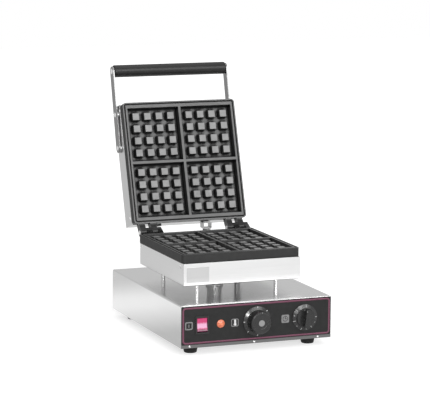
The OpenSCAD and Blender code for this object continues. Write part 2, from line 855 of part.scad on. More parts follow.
// tubular element: four runs joined by three half rings, and two plain ends towards the hinge
module element() {
    r = run_pitch / 2;
    y0 = plate_mid - run_l / 2;
    y1 = plate_mid + run_l / 2;
    union() {
        for (i = [-3, -1, 1, 3]) rod_y(element_d, y0, y1, i * r, element_z);
        for (s = [-1, 1]) {
            translate([s * run_pitch, y0, element_z]) rotate([0, 0, 180])
                rotate_extrude(angle = 180) translate([r, 0]) circle(d = element_d);
            rod_y(element_d / 2, y1 - 1, y1 + 14, s * 3 * r, element_z);
        }
        translate([0, y1, element_z])
            rotate_extrude(angle = 180) translate([r, 0]) circle(d = element_d);
    }
}

clamp_w = 3 * run_pitch + 44;
clamp_z = -plate_t - clamp_lift;

module clamp(tube_hole) {
    difference() {
        translate([0, plate_mid, clamp_z - clamp_t]) linear_extrude(clamp_t)
            round_rect(clamp_w, 2 * clamp_reach + 24, 5);
        for (p = pillars) rod_z(clamp_hole_d + seat, clamp_z - 10, clamp_z + 1, p[0], p[1]);
        if (tube_hole) rod_z(sleeve_d + 2, clamp_z - 10, clamp_z + 1, sleeve_x, sleeve_y);
    }
}

module clamp_screws() {
    for (p = pillars)
        translate([p[0], p[1], clamp_z - clamp_t]) rotate([180, 0, 0])
            screw(screw_head_d, screw_head_h, clamp_hole_d, clamp_t + 7);
}

// fibre block between the clamp and the pan's floor
module insulation(y0, h) {
    top = -plate_t - max(clamp_lift + clamp_t + screw_head_h, boss_h) - 1;
    inset = 12;
    block(-tray_w / 2 + inset, tray_w / 2 - inset, y0 + inset, y0 + tray_d - inset,
        -plate_t - h + tray_t + 0.1, top);
}

// ---------------------------------------------------------------- hinge

hinge_w = 2 * lid_lug_w + low_lug_w + end_lug_w + 3 * lug_gap;

function hinge_start(side) = side * hinge_x + hinge_shift - hinge_w / 2;
function low_lugs() = [
    [lid_lug_w + lug_gap, low_lug_w],
    [2 * lid_lug_w + low_lug_w + 3 * lug_gap, end_lug_w]
];
function lid_lugs() = [[0, lid_lug_w], [lid_lug_w + low_lug_w + 2 * lug_gap, lid_lug_w]];

// a lug in the machine's own frame, lid shut: round about the axis, with an arm into its plate
module lug(x, w, arm) {
    translate([0, hinge_y, hinge_z]) along_x(x, x + w) union() {
        circle(lug_r);
        polygon(arm);
    }
}

module lug_bores() {
    for (side = [-1, 1])
        rod_x(2 * lug_bore, hinge_start(side) - 1, hinge_start(side) + hinge_w + 1, hinge_y, hinge_z);
}

module lower_lugs() {
    root = -hinge_back - 2;
    for (side = [-1, 1], g = low_lugs())
        lug(hinge_start(side) + g[0], g[1], [[root, -0.2], [root - 2, -14], [0, -lug_r], [0, lug_r]]);
}

module upper_lugs() {
    root = -hinge_back - 2;
    for (side = [-1, 1], g = lid_lugs())
        lug(hinge_start(side) + g[0], g[1], [[root, 2], [root - 2, 16], [0, lug_r], [0, -lug_r]]);
}

module hinge_pin(side) {
    x0 = hinge_start(side);
    color([0.8, 0.8, 0.8]) placed() translate([x0 - seat, hinge_y, hinge_z]) difference() {
        rotate([0, -90, 0]) screw(pin_d + 2.5, 2.5, pin_d, hinge_w + 2 * seat + 4);
        translate([hinge_w + 2 * seat, 0, 0]) rotate([0, 90, 0]) difference() {
            cylinder(d = pin_d + 1, h = 1.2);
            translate([0, 0, -1]) cylinder(d = pin_d - 1.5, h = 4);
        }
    }
}

module pin_clips() {
    color([0.7, 0.7, 0.7]) placed() for (side = [-1, 1])
        translate([hinge_start(side) + hinge_w + seat + 0.1, hinge_y, hinge_z])
            rotate([0, 90, 0]) difference() {
                cylinder(d = pin_d + 4, h = 1);
                translate([0, 0, -1]) cylinder(d = pin_d - 1.3, h = 3);
                translate([0, -pin_d / 4, -1]) cube([pin_d, pin_d / 2, 3]);
            }
}

tongue_w = 8;
loop_back = 14.5;
loop_front = -2;

// cast tongue behind the lower plate that carries the stop loop
module loop_tongue() {
    block(loop_x - tongue_w / 2, loop_x + tongue_w / 2, plate_end - 4, hinge_y + loop_back,
        hinge_z - 14, hinge_z - 0.5);
}

// strip bent into a loop: the open lid's hinge side leans on its rear edge
module stop_loop() {
    z0 = hinge_z - 0.5;
    z1 = hinge_z + (hinge_back - 0.3 + loop_back * cos(open_angle)) / sin(open_angle);
    h = z1 - z0;
    color([0.72, 0.72, 0.72]) placed() translate([loop_x, 0, z0 + h / 2])
        along_y(hinge_y + loop_front, hinge_y + loop_back) difference() {
            round_rect(loop_w, h, loop_t + 0.5);
            round_rect(loop_w - 2 * loop_t, h - 2 * loop_t, 0.5);
        }
}

// ---------------------------------------------------------------- lower half

module nut(across, h) {
    cylinder(d = across / cos(30), h = h, $fn = 6);
}

module post_nuts() {
    color([0.6, 0.6, 0.6]) placed() at_posts() for (z = [deck_z - base_t - 3, tray_z + tray_t])
        translate([0, 0, z]) difference() {
            nut(7, 3);
            translate([0, 0, -1]) cylinder(d = stud_d + 0.1, h = 5);
        }
}

module lower_tray() {
    color([0.90, 0.90, 0.90]) placed() difference() {
        translate([0, 0, rim_z]) pan(tray_y, tray_h);
        at_posts() rod_z(stud_hole_d, tray_z - 1, tray_z + 2 * tray_t, 0, 0);
        rod_z(duct_d + 2 * seat, tray_z - 1, tray_z + 2 * tray_t, duct_x, duct_y);
        rod_z(sleeve_d + 2 * seat, tray_z - 1, tray_z + 2 * tray_t, sleeve_x, sleeve_y);
    }
}

module tray_screws() {
    color([0.8, 0.8, 0.8]) lower_half() side_screws();
}

module lower_plate() {
    color([0.24, 0.24, 0.24]) difference() {
        union() {
            lower_half() casting(boss_y, boss_end);
            placed() lower_lugs();
            placed() loop_tongue();
        }
        placed() lug_bores();
    }
}

module lower_element() {
    color([0.35, 0.33, 0.32]) lower_half() element();
}

module lower_clamp() {
    color([0.72, 0.72, 0.70]) lower_half() clamp(true);
}

module lower_clamp_screws() {
    color([0.6, 0.6, 0.6]) lower_half() clamp_screws();
}

module lower_insulation() {
    color([0.92, 0.90, 0.82]) difference() {
        lower_half() insulation(tray_y, tray_h);
        placed() {
            rod_z(duct_d + 2, tray_z, pan_z, duct_x, duct_y);
            rod_z(sleeve_d + 2, tray_z, pan_z, sleeve_x, sleeve_y);
            at_posts() rod_z(12, tray_z, pan_z, 0, 0);
        }
    }
}

module tray_bushing() {
    color([0.1, 0.1, 0.1]) lower_half() bushing(tray_y);
}

badge_w = 45;
badge_h = 29;
badge_t = 0.8;
badge_x = -tray_w / 2 + 28.7;
badge_z = tray_z + 21.2;

module badge_plate() {
    color([0.86, 0.86, 0.86]) placed() translate([badge_x, 0, badge_z])
        along_y(tray_y - badge_t, tray_y) round_rect(badge_w, badge_h, 1.5);
}

// ---------------------------------------------------------------- lid

bolt_d = 5;
bolt_head_d = 9.5;
bolt_head_h = 2.8;
bolt_end = 6;
bolt_nut_af = 8;
bolt_nut_h = 4;
spacer_d = 13;

// a place along a handle bar, from its lower bolt towards the grip
module at_arm(along) {
    translate([0, tail_y + along * cos(arm_angle), tail_z + along * sin(arm_angle)]) children();
}

arm_l = norm([grip_y - tail_y, grip_z - tail_z]);
grip_screw_d = 6;

module handle_arm(side) {
    x0 = side > 0 ? arm_x : -arm_x - arm_t;
    color([0.78, 0.78, 0.78]) swung() difference() {
        along_x(x0, x0 + arm_t) translate([tail_y, tail_z]) rotate(arm_angle) union() {
            translate([0, -arm_w / 2]) square([arm_l, arm_w]);
            circle(d = arm_w);
            translate([arm_l, 0]) circle(d = arm_w);
        }
        for (a = [0, arm_pitch]) at_arm(a) rod_x(bolt_d + seat, x0 - 1, x0 + arm_t + 1, 0, 0);
        at_arm(arm_l) rod_x(grip_screw_d + seat, x0 - 1, x0 + arm_t + 1, 0, 0);
    }
}

module upper_cover() {
    color([0.84, 0.84, 0.84]) difference() {
        upper_half() pan(cover_y, cover_h);
        swung() for (a = [0, arm_pitch]) at_arm(a) rod_x(bolt_d + seat, -tray_w, tray_w, 0, 0);
    }
}

module cover_screws() {
    color([0.8, 0.8, 0.8]) upper_half() side_screws();
}

// each bar's two bolts, with the spacers that hold it off the cover
module arm_bolts() {
    color([0.82, 0.82, 0.82]) swung() for (s = [-1, 1], a = [0, arm_pitch]) at_arm(a) {
        translate([s * (arm_x + arm_t), 0, 0]) rotate([0, s * 90, 0])
            screw(bolt_head_d, bolt_head_h, bolt_d, arm_t + spacer_t + tray_t + bolt_end);
        difference() {
            rod_x(spacer_d, s > 0 ? tray_w / 2 : -arm_x, s > 0 ? arm_x : -tray_w / 2, 0, 0);
            rod_x(bolt_d + 0.1, -arm_x - 1, arm_x + 1, 0, 0);
        }
    }
}

module arm_nuts() {
    color([0.6, 0.6, 0.6]) swung() for (s = [-1, 1], a = [0, arm_pitch])
        at_arm(a) translate([s * (tray_w / 2 - tray_t), 0, 0]) rotate([0, -s * 90, 0]) difference() {
            nut(bolt_nut_af, bolt_nut_h);
            translate([0, 0, -1]) cylinder(d = bolt_d + 0.1, h = bolt_nut_h + 2);
        }
}

module upper_plate() {
    color([0.24, 0.24, 0.24]) difference() {
        union() {
            upper_half() casting(lid_boss_y, lid_boss_end);
            swung() upper_lugs();
        }
        swung() lug_bores();
    }
}

module upper_element() {
    color([0.35, 0.33, 0.32]) upper_half() element();
}

module upper_clamp() {
    color([0.72, 0.72, 0.70]) upper_half() clamp(false);
}

module upper_clamp_screws() {
    color([0.6, 0.6, 0.6]) upper_half() clamp_screws();
}

module upper_insulation() {
    color([0.92, 0.90, 0.82]) upper_half() insulation(cover_y, cover_h);
}

module lid_bushing() {
    color([0.1, 0.1, 0.1]) upper_half() bushing(cover_y);
}

// sleeve over the rod, its ends rounded
module handle_grip() {
    l = 2 * arm_x - 2 * seat;
    r = grip_d / 2;
    bore_r = rod_d / 2 + 0.1;
    color([0.09, 0.09, 0.09]) swung() at_arm(arm_l) translate([-l / 2, 0, 0]) rotate([0, 90, 0])
        rotate_extrude() {
            translate([bore_r, 0]) square([r - grip_r - bore_r, l]);
            translate([bore_r, grip_r]) square([r - bore_r, l - 2 * grip_r]);
            for (z = [grip_r, l - grip_r]) translate([r - grip_r, z]) circle(grip_r);
        }
}

module grip_rod() {
    tapped = 16;
    color([0.7, 0.7, 0.7]) swung() at_arm(arm_l) difference() {
        rod_x(rod_d, -arm_x, arm_x, 0, 0);
        for (s = [-1, 1]) translate([s * (arm_x - tapped / 2), 0, 0])
            rod_x(grip_screw_d + 0.1, -tapped / 2 - 1, tapped / 2 + 1, 0, 0);
    }
}

module grip_screws() {
    color([0.82, 0.82, 0.82]) swung() for (s = [-1, 1])
        at_arm(arm_l) translate([s * (arm_x + arm_t), 0, 0]) rotate([0, s * 90, 0])
            screw(2 * grip_screw_d, 3.2, grip_screw_d, arm_t + 12);
}

// ---------------------------------------------------------------- the pieces

base_housing();
bottom_plate();
control_panel();
lip_screws();
foot(feet_at[0]);  // foot_fl
foot(feet_at[1]);  // foot_fr
foot(feet_at[2]);  // foot_rl
foot(feet_at[3]);  // foot_rr
foot_screws();
rocker_frame();
rocker();
lamp_lens();
lamp_body();
thermostat_dial();
dial_disc();
dial_shaft();
thermostat();
sensing_bulb();
timer_knob();
timer_shaft();
timer();
terminal_block();
cable_gland();
gland_nut();
post(feet_at[0]);  // post_fl
post(feet_at[1]);  // post_fr
post(feet_at[2]);  // post_rl
post(feet_at[3]);  // post_rr
post_nuts();
wire_duct();
bulb_sleeve();
lower_tray();
tray_screws();
lower_plate();
lower_element();
lower_clamp();
lower_clamp_screws();
lower_insulation();
tray_bushing();
badge_plate();
hinge_pin(-1);  // hinge_pin_left
hinge_pin(1);  // hinge_pin_right
pin_clips();
stop_loop();
upper_cover();
cover_screws();
upper_plate();
upper_element();
upper_clamp();
upper_clamp_screws();
upper_insulation();
lid_bushing();
handle_arm(-1);  // handle_arm_left
handle_arm(1);  // handle_arm_right
arm_bolts();
arm_nuts();
handle_grip();
grip_rod();
grip_screws();
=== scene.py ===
import contextlib
import json
import math

import bmesh
import bpy
from mathutils import Matrix, Vector

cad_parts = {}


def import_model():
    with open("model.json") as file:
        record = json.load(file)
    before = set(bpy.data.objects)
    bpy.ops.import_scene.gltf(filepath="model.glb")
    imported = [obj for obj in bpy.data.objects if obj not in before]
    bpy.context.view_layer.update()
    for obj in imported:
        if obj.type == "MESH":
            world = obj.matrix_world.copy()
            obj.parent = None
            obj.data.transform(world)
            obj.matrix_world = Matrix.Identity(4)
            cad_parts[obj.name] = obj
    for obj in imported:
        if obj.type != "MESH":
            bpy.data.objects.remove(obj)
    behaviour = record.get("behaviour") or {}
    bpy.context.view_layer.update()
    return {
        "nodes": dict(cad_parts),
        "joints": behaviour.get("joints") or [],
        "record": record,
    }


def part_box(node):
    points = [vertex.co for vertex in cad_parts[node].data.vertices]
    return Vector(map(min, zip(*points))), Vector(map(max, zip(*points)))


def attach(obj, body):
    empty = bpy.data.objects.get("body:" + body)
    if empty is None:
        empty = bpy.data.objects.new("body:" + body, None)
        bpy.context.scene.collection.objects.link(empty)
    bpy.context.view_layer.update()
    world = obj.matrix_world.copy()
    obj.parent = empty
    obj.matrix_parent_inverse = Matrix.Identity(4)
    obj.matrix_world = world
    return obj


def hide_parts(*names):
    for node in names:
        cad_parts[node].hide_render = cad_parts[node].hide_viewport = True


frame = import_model()
RECORD = frame["record"]
BODIES = RECORD["behaviour"]["bodies"]
MM = 0.001


# ------------ places taken from the frame

def body_of(node):
    """The body that a CAD node rides on."""
    return next(name for name, nodes in BODIES.items() if node in nodes)


def slot_of(node):
    """The record's material slot of a CAD node."""
    return next(part["material_slot"] for part in RECORD["subparts"] if part["node"] == node)


def low(node):
    return Vector(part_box(node)[0])


def high(node):
    return Vector(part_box(node)[1])


def middle(node):
    return (low(node) + high(node)) / 2


def named(entries, name):
    """The one of some entries that has this name."""
    return next(entry for entry in entries if entry["name"] == name)


PANEL_Y = low("control_panel").y
DIAL = Vector((middle("thermostat_dial").x, PANEL_Y, middle("thermostat_dial").z))
TIMER = Vector((middle("timer_knob").x, PANEL_Y, middle("timer_shaft").z))
HINGE = Vector(named(frame["joints"], "lid_hinge")["pos_m"])
OPEN_ANGLE = math.radians(named(RECORD["behaviour"]["joints"], "lid_hinge")["range_deg"][1])


# ------------ meshes

JOIN_DISTANCE = 0.002 * MM  # loose triangles' corners nearer than this are one point
SAME_PLANE = 0.99995  # cosine of the bend between faces of one flat region
AREA_WEIGHT = 1e8  # keeps the weighed normals of tiny regions from vanishing
SMOOTH_TURN = math.cos(math.radians(50.0))  # over a sharper bend than this, shading breaks
FLAT_BEND = math.radians(0.05)  # triangles that bend less than this join in one face
SHARP_BEND = math.radians(35.0)  # edges that bend more than this get rounded
SCREW_RIM = 42.0 * MM  # the rims of holes shorter than this stay sharp
OPENING_RIM = 140.0 * MM  # the same, where a piece's flat faces aren't joined
RIM_STEP = 4.0 * MM  # a longer edge than this isn't part of a round rim
SPOILT_AREA = 0.001  # share by which cutting in triangles may change the area


@contextlib.contextmanager
def edited(piece):
    """The piece's mesh as a bmesh, put back when the block ends."""
    bm = bmesh.new()
    bm.from_mesh(piece.data)
    yield bm
    bm.to_mesh(piece.data)
    bm.free()


def merged_copy(node):
    """A bmesh of a CAD node with its loose triangles joined."""
    bm = bmesh.new()
    bm.from_mesh(frame["nodes"][node].data)
    bmesh.ops.remove_doubles(bm, verts=bm.verts, dist=JOIN_DISTANCE)
    return bm


def new_object(name, bm):
    mesh = bpy.data.meshes.new(name)
    bm.to_mesh(mesh)
    bm.free()
    piece = bpy.data.objects.new(name, mesh)
    bpy.context.scene.collection.objects.link(piece)
    return piece


def baked(piece):
    """The piece with its modifiers turned into plain mesh."""
    depsgraph = bpy.context.evaluated_depsgraph_get()
    mesh = bpy.data.meshes.new_from_object(piece.evaluated_get(depsgraph))
    old = piece.data
    piece.modifiers.clear()
    piece.data = mesh
    if old.users == 0:
        bpy.data.meshes.remove(old)
    return piece


def flat_regions(bm):
    """Each face's region of faces in one plane, and each region's normal times its area squared."""
    region_of, regions = {}, []
    for start in bm.faces:
        if start in region_of:
            continue
        region_of[start] = len(regions)
        waiting, area = [start], 0.0
        while waiting:
            face = waiting.pop()
            area += face.calc_area()
            for edge in face.edges:
                for other in edge.link_faces:
                    if other not in region_of and other.normal.dot(start.normal) > SAME_PLANE:
                        region_of[other] = len(regions)
                        waiting.append(other)
        regions.append(start.normal * area * area * AREA_WEIGHT)
    return region_of, regions


def shaded(piece):
    """Smooth shading that keeps broad faces flat and turns over the narrow ones beside them."""
    mesh = piece.data
    bm = bmesh.new()
    bm.from_mesh(mesh)
    region_of, regions = flat_regions(bm)
    normals = []
    for face in bm.faces:
        for loop in face.loops:
            near = {region_of[other] for other in loop.vert.link_faces
                    if other.normal.dot(face.normal) > SMOOTH_TURN}
            normals.append(sum((regions[k] for k in sorted(near)), Vector()).normalized())
    bm.free()
    mesh.polygons.foreach_set("use_smooth", [True] * len(mesh.polygons))
    mesh.normals_split_custom_set(normals)
    return piece


def hole_rims(edges, limit):
    """Those of the sharp edges that join up in rims of short steps, shorter than limit in all."""
    left, found = set(edges), set()
    for start in edges:
        if start not in left:
            continue
        left.discard(start)
        rim, waiting = [], [start]
        while waiting:
            edge = waiting.pop()
            rim.append(edge)
            for vert in edge.verts:
                beside = [e for e in vert.link_edges if e in left]
                left.difference_update(beside)
                waiting.extend(beside)
        lengths = [edge.calc_length() for edge in rim]
        if sum(lengths) < limit and max(lengths) < RIM_STEP:
            found.update(rim)
    return found


def weigh_edges(piece, rim_limit, join_flats):
    """Marks the sharp edges to round; joins the triangles of each flat face first, if asked."""
    with edited(piece) as bm:
        if join_flats:
            bmesh.ops.dissolve_limit(bm, angle_limit=FLAT_BEND, verts=bm.verts, edges=bm.edges)
        weight = bm.edges.layers.float.new("bevel_weight_edge")
        sharp = [edge for edge in bm.edges
                 if len(edge.link_faces) == 2 and edge.calc_face_angle() > SHARP_BEND]
        kept = hole_rims(sharp, rim_limit)
        for edge in sharp:
            edge[weight] = 0.0 if edge in kept else 1.0


def cut_in_triangles(piece):
    """Cuts the faces in triangles, and gives the share by which their area grew."""
    with edited(piece) as bm:
        before = sum(face.calc_area() for face in bm.faces)
        bmesh.ops.triangulate(bm, faces=bm.faces)
        after = sum(face.calc_area() for face in bm.faces)
    return after / before - 1.0


def bevelled(piece, width, segments, rim_limit, join_flats):
    """Rounds the piece's sharp edges, and says whether its faces came through unspoilt."""
    weigh_edges(piece, rim_limit, join_flats)
    bevel = piece.modifiers.new("edge", "BEVEL")
    bevel.width = width * MM
    bevel.segments = segments
    bevel.limit_method = "WEIGHT"
    bevel.miter_outer = "MITER_ARC"
    bevel.use_clamp_overlap = True
    baked(piece)
    return abs(cut_in_triangles(piece)) <= SPOILT_AREA


def rounded(piece, width, segments):
    """Rounds the sharp edges by width in mm, but for the rims that screws and fittings hide.

    The triangles of each flat face are joined first, unless that spoils a face with many holes.
    """
    if width:
        original = piece.data.copy()
        if not bevelled(piece, width, segments, SCREW_RIM, True):
            piece.data = original
            bevelled(piece, width, segments, OPENING_RIM, False)
    return shaded(piece)


def finish_piece(piece, material, body):
    piece.data.materials.clear()
    piece.data.materials.append(material)
    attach(piece, body)
    return piece


def stand_in(piece, node):
    """Puts the piece in place of a CAD node, on the node's body, in the node's own material or its
    slot's.
    """
    slot = slot_of(node)
    finish_piece(piece, OWN_MATERIAL.get(node, SLOT_MATERIAL[slot]), body_of(node))
    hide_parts(node)


def dressed(node, name, width, segments):
    """A CAD node with its edges rounded, in place of the node itself."""
    stand_in(rounded(new_object(name, merged_copy(node)), width, segments), node)


def loose_boxes(node):
    """The (low, high) corners of each separate solid in a CAD node."""
    bm = merged_copy(node)
    waiting, boxes = set(bm.verts), []
    while waiting:
        reached, found = [waiting.pop()], []
        while reached:
            vert = reached.pop()
            found.append(vert.co.copy())
            for edge in vert.link_edges:
                other = edge.other_vert(vert)
                if other in waiting:
                    waiting.discard(other)
                    reached.append(other)
        boxes.append([Vector(pick(co[i] for co in found) for i in range(3)) for pick in (min, max)])
    bm.free()
    return sorted(boxes, key=lambda box: tuple(round(c, 5) for c in box[0]))


# ------------ node helpers

class Nodes:
    """Short calls for building a shader or geometry tree."""

    def __init__(self, tree):
        self.tree = tree

    def add(self, kind, **settings):
        node = self.tree.nodes.new(kind)
        for key, value in settings.items():
            setattr(node, key, value)
        return node

    def link(self, source, target):
        self.tree.links.new(source, target)

    def put(self, target, value):
        """Links an output to the socket, or writes a plain value on it."""
        if hasattr(value, "links"):
            self.link(value, target)
        else:
            target.default_value = value

    def made(self, kind, values, **settings):
        """A node with its settings, and its inputs given by name or number."""
        node = self.add(kind, **settings)
        for key, value in values.items():
            self.put(node.inputs[key], value)
        return node

    def first(self, kind, values, **settings):
        """The first output of such a node."""
        return self.made(kind, values, **settings).outputs[0]

    def noise(self, vector, scale, detail=3.0, roughness=0.5, distortion=0.0):
        return self.made("ShaderNodeTexNoise", {
            "Vector": vector, "Scale": scale, "Detail": detail, "Roughness": roughness,
            "Distortion": distortion}).outputs["Fac"]

    def math(self, operation, a, b=None):
        values = {0: a} if b is None else {0: a, 1: b}
        return self.first("ShaderNodeMath", values, operation=operation)

    def times(self, a, b):
        return self.math("MULTIPLY", a, b)

    def plus(self, a, b):
        return self.math("ADD", a, b)

    def minus(self, a, b):
        return self.math("SUBTRACT", a, b)

    def larger(self, a, b):
        return self.math("MAXIMUM", a, b)

    def vector(self, operation, a, b=None):
        """The outputs of a vector calculation."""
        values = {0: a} if b is None else {0: a, 1: b}
        return self.made("ShaderNodeVectorMath", values, operation=operation).outputs

    def stretch(self, vector, factors):
        return self.first("ShaderNodeMapping", {"Vector": vector, "Scale": factors})

    def parts(self, vector):
        return self.made("ShaderNodeSeparateXYZ", {0: vector}).outputs

    def joined(self, x, y, z):
        return self.first("ShaderNodeCombineXYZ", {0: x, 1: y, 2: z})

    def span(self, value, low_in, high_in, low_out, high_out):
        """The value moved from one range to another, and kept inside it."""
        return self.made("ShaderNodeMapRange", {
            "Value": value, "From Min": low_in, "From Max": high_in,
            "To Min": low_out, "To Max": high_out}).outputs["Result"]

    def mix(self, factor, a, b):
        return self.made("ShaderNodeMix", {0: factor, 6: a, 7: b}, data_type="RGBA").outputs[2]


def named_tree(name, kind, inputs, outputs):
    """A new tree with named sockets; returns (helper, its inputs by name, its output node)."""
    tree = bpy.data.node_groups.new(name, kind)
    for way, sockets in (("INPUT", inputs), ("OUTPUT", outputs)):
        for label, sort in sockets.items():
            tree.interface.new_socket(name=label, in_out=way, socket_type=sort)
    nodes = Nodes(tree)
    return nodes, nodes.add("NodeGroupInput").outputs, nodes.add("NodeGroupOutput")


# ------------ surface effects shared by the materials

FLOAT, VECTOR = "NodeSocketFloat", "NodeSocketVector"


def effect_tree(name, numbers, results):
    """A shader tree that takes a Vector and these named numbers, and gives the named results."""
    return named_tree(name, "ShaderNodeTree", {"Vector": VECTOR, **dict.fromkeys(numbers, FLOAT)},
                      dict.fromkeys(results, FLOAT))


def brushed_group():
    """Fine straight scratches along one direction: a tone for the colour and a height."""
    nodes, given, out = effect_tree("brushed_lines", ["Fineness"], ["Tone", "Height"])
    fine = nodes.noise(given["Vector"], nodes.times(given["Fineness"], 900.0), 2.0)
    broad = nodes.noise(given["Vector"], nodes.times(given["Fineness"], 160.0), 2.0)
    nodes.link(nodes.plus(nodes.times(fine, 0.6), nodes.times(broad, 0.4)), out.inputs["Tone"])
    nodes.link(fine, out.inputs["Height"])
    return nodes.tree


def smudge_group():
    """Large soft clouds, as handling leaves on metal and plastic: a value from 0 to 1."""
    nodes, given, out = effect_tree("handling_smudges", ["Scale"], ["Cloud"])
    cloud = nodes.noise(given["Vector"], given["Scale"], 4.0, 0.55, 0.6)
    nodes.link(nodes.span(cloud, 0.35, 0.7, 0.0, 1.0), out.inputs["Cloud"])
    return nodes.tree


def cast_group():
    """The skin of a sand casting under its coat: a fine pebbled height and a soft mottle."""
    nodes, given, out = effect_tree("cast_skin", ["Grain"], ["Height", "Mottle"])
    pebbles = nodes.noise(given["Vector"], given["Grain"], 3.0, 0.6)
    mottle = nodes.noise(given["Vector"], 90.0, 4.0, 0.6)
    nodes.link(pebbles, out.inputs["Height"])
    nodes.link(nodes.span(mottle, 0.3, 0.7, 0.0, 1.0), out.inputs["Mottle"])
    return nodes.tree


def worn_edge_group():
    """A mask of the edges that hands and cloths rub bright, where a rounded normal would turn."""
    nodes, given, out = effect_tree("worn_edges", ["Reach", "Breakup"], ["Mask"])
    turned = nodes.first("ShaderNodeBevel", {"Radius": given["Reach"]}, samples=4)
    straight = nodes.add("ShaderNodeNewGeometry").outputs["Normal"]
    same = nodes.vector("DOT_PRODUCT", turned, straight)["Value"]
    bend = nodes.span(nodes.minus(1.0, same), 0.01, 0.10, 0.0, 1.0)
    patchy = nodes.span(nodes.noise(given["Vector"], given["Breakup"]), 0.35, 0.65, 0.2, 1.0)
    nodes.link(nodes.times(bend, patchy), out.inputs["Mask"])
    return nodes.tree


def crease_shade_group():
    """A mask of the inside corners, from occlusion, for the painted shade that the coat gets there.
    """
    nodes, given, out = effect_tree("painted_crease_shade", ["Reach"], ["Mask"])
    occlusion = nodes.made("ShaderNodeAmbientOcclusion", {"Distance": given["Reach"]},
                           samples=8, only_local=True)
    patchy = nodes.span(nodes.noise(given["Vector"], 220.0), 0.3, 0.7, -0.03, 0.03)
    openness = nodes.plus(occlusion.outputs["AO"], patchy)
    nodes.link(nodes.span(openness, 0.74, 0.94, 1.0, 0.0), out.inputs["Mask"])
    return nodes.tree


BRUSHED = brushed_group()
SMUDGE = smudge_group()
CAST_SKIN = cast_group()
WORN_EDGE = worn_edge_group()
CREASE_SHADE = crease_shade_group()


class Material(Nodes):
    """The tree of a Principled material."""

    def __init__(self, name, **plain):
        self.material = bpy.data.materials.new(name)
        self.material.use_nodes = True
        super().__init__(self.material.node_tree)
        self.shader = next(n for n in self.tree.nodes if n.type == "BSDF_PRINCIPLED")
        self.place = self.add("ShaderNodeTexCoord").outputs["Object"]
        for key, value in plain.items():
            self.shader.inputs[key.replace("_", " ")].default_value = value

    def group(self, tree, vector=None, **values):
        """The outputs of a shared effect, laid on the piece's own coordinates or on others."""
        values = {"Vector": vector or self.place, **values}
        return self.made("ShaderNodeGroup", values, node_tree=tree).outputs

    def set(self, key, source):
        self.link(source, self.shader.inputs[key])

    def bump(self, height, strength, distance):
        """A bump of a height from 0 to 1, distance deep in mm."""
        self.set("Normal", self.first("ShaderNodeBump", {
            "Strength": strength, "Distance": distance * MM, "Height": height}))


def tone(level, tint=(1.0, 1.0, 1.0)):
    """A grey of this level, or a tint taken down to it."""
    return (level * tint[0], level * tint[1], level * tint[2], 1.0)


# ------------ materials

FACING = 0.7  # a face whose normal has more along an axis faces that way
GRAIN_STRETCH = 0.012  # how much slower the scratches change along their run
BELOW_ROUGHNESS = 0.10  # of the faces that look down


def brushed_steel(name, along, level=0.78, rough=(0.26, 0.34), depth=0.012, fineness=1.0):
    """Stainless sheet whose grain runs along X, Y or Z, and turns on sides that face that way."""
    m = Material(name, Metallic=1.0)
    axis = "XYZ".index(along)
    ways = []
    for stretched in (axis, 1 if axis == 0 else 0):
        factors = [1.0, 1.0, 1.0]
        factors[stretched] = GRAIN_STRETCH
        ways.append(m.stretch(m.place, factors))
    normal = m.parts(m.add("ShaderNodeTexCoord").outputs["Normal"])
    side = m.math("GREATER_THAN", m.math("ABSOLUTE", normal[axis]), FACING)
    lines = m.group(BRUSHED, m.mix(side, *ways), Fineness=fineness)
    cloud = m.group(SMUDGE, Scale=9.0)["Cloud"]
    m.set("Base Color", m.mix(lines["Tone"], tone(level * 0.94), tone(level * 1.06)))
    streaky = m.span(lines["Tone"], 0.3, 0.7, *rough)
    brushed = m.plus(streaky, m.times(cloud, 0.04))
    below = m.math("LESS_THAN", normal["Z"], -FACING)
    m.set("Roughness", m.mix(below, brushed, tone(BELOW_ROUGHNESS)))
    m.bump(lines["Height"], 0.2, depth)
    return m.material


LUG_REACH = 17.0 * MM  # from the hinge pin to the end of the lugs round it
LUG_FADE = 3.0 * MM
# Lowest and highest depth from the rim, in mm, and the paler tone of faces there that point out:
# wear and painted highlight.
COMPARTMENT_FLOORS = (-13.6, -12.7, 0.125)
STUD_TOPS = (-2.4, -1.75, 0.26)
RIM = (-0.35, 0.3, 0.125)
BAND_FADE = 0.1


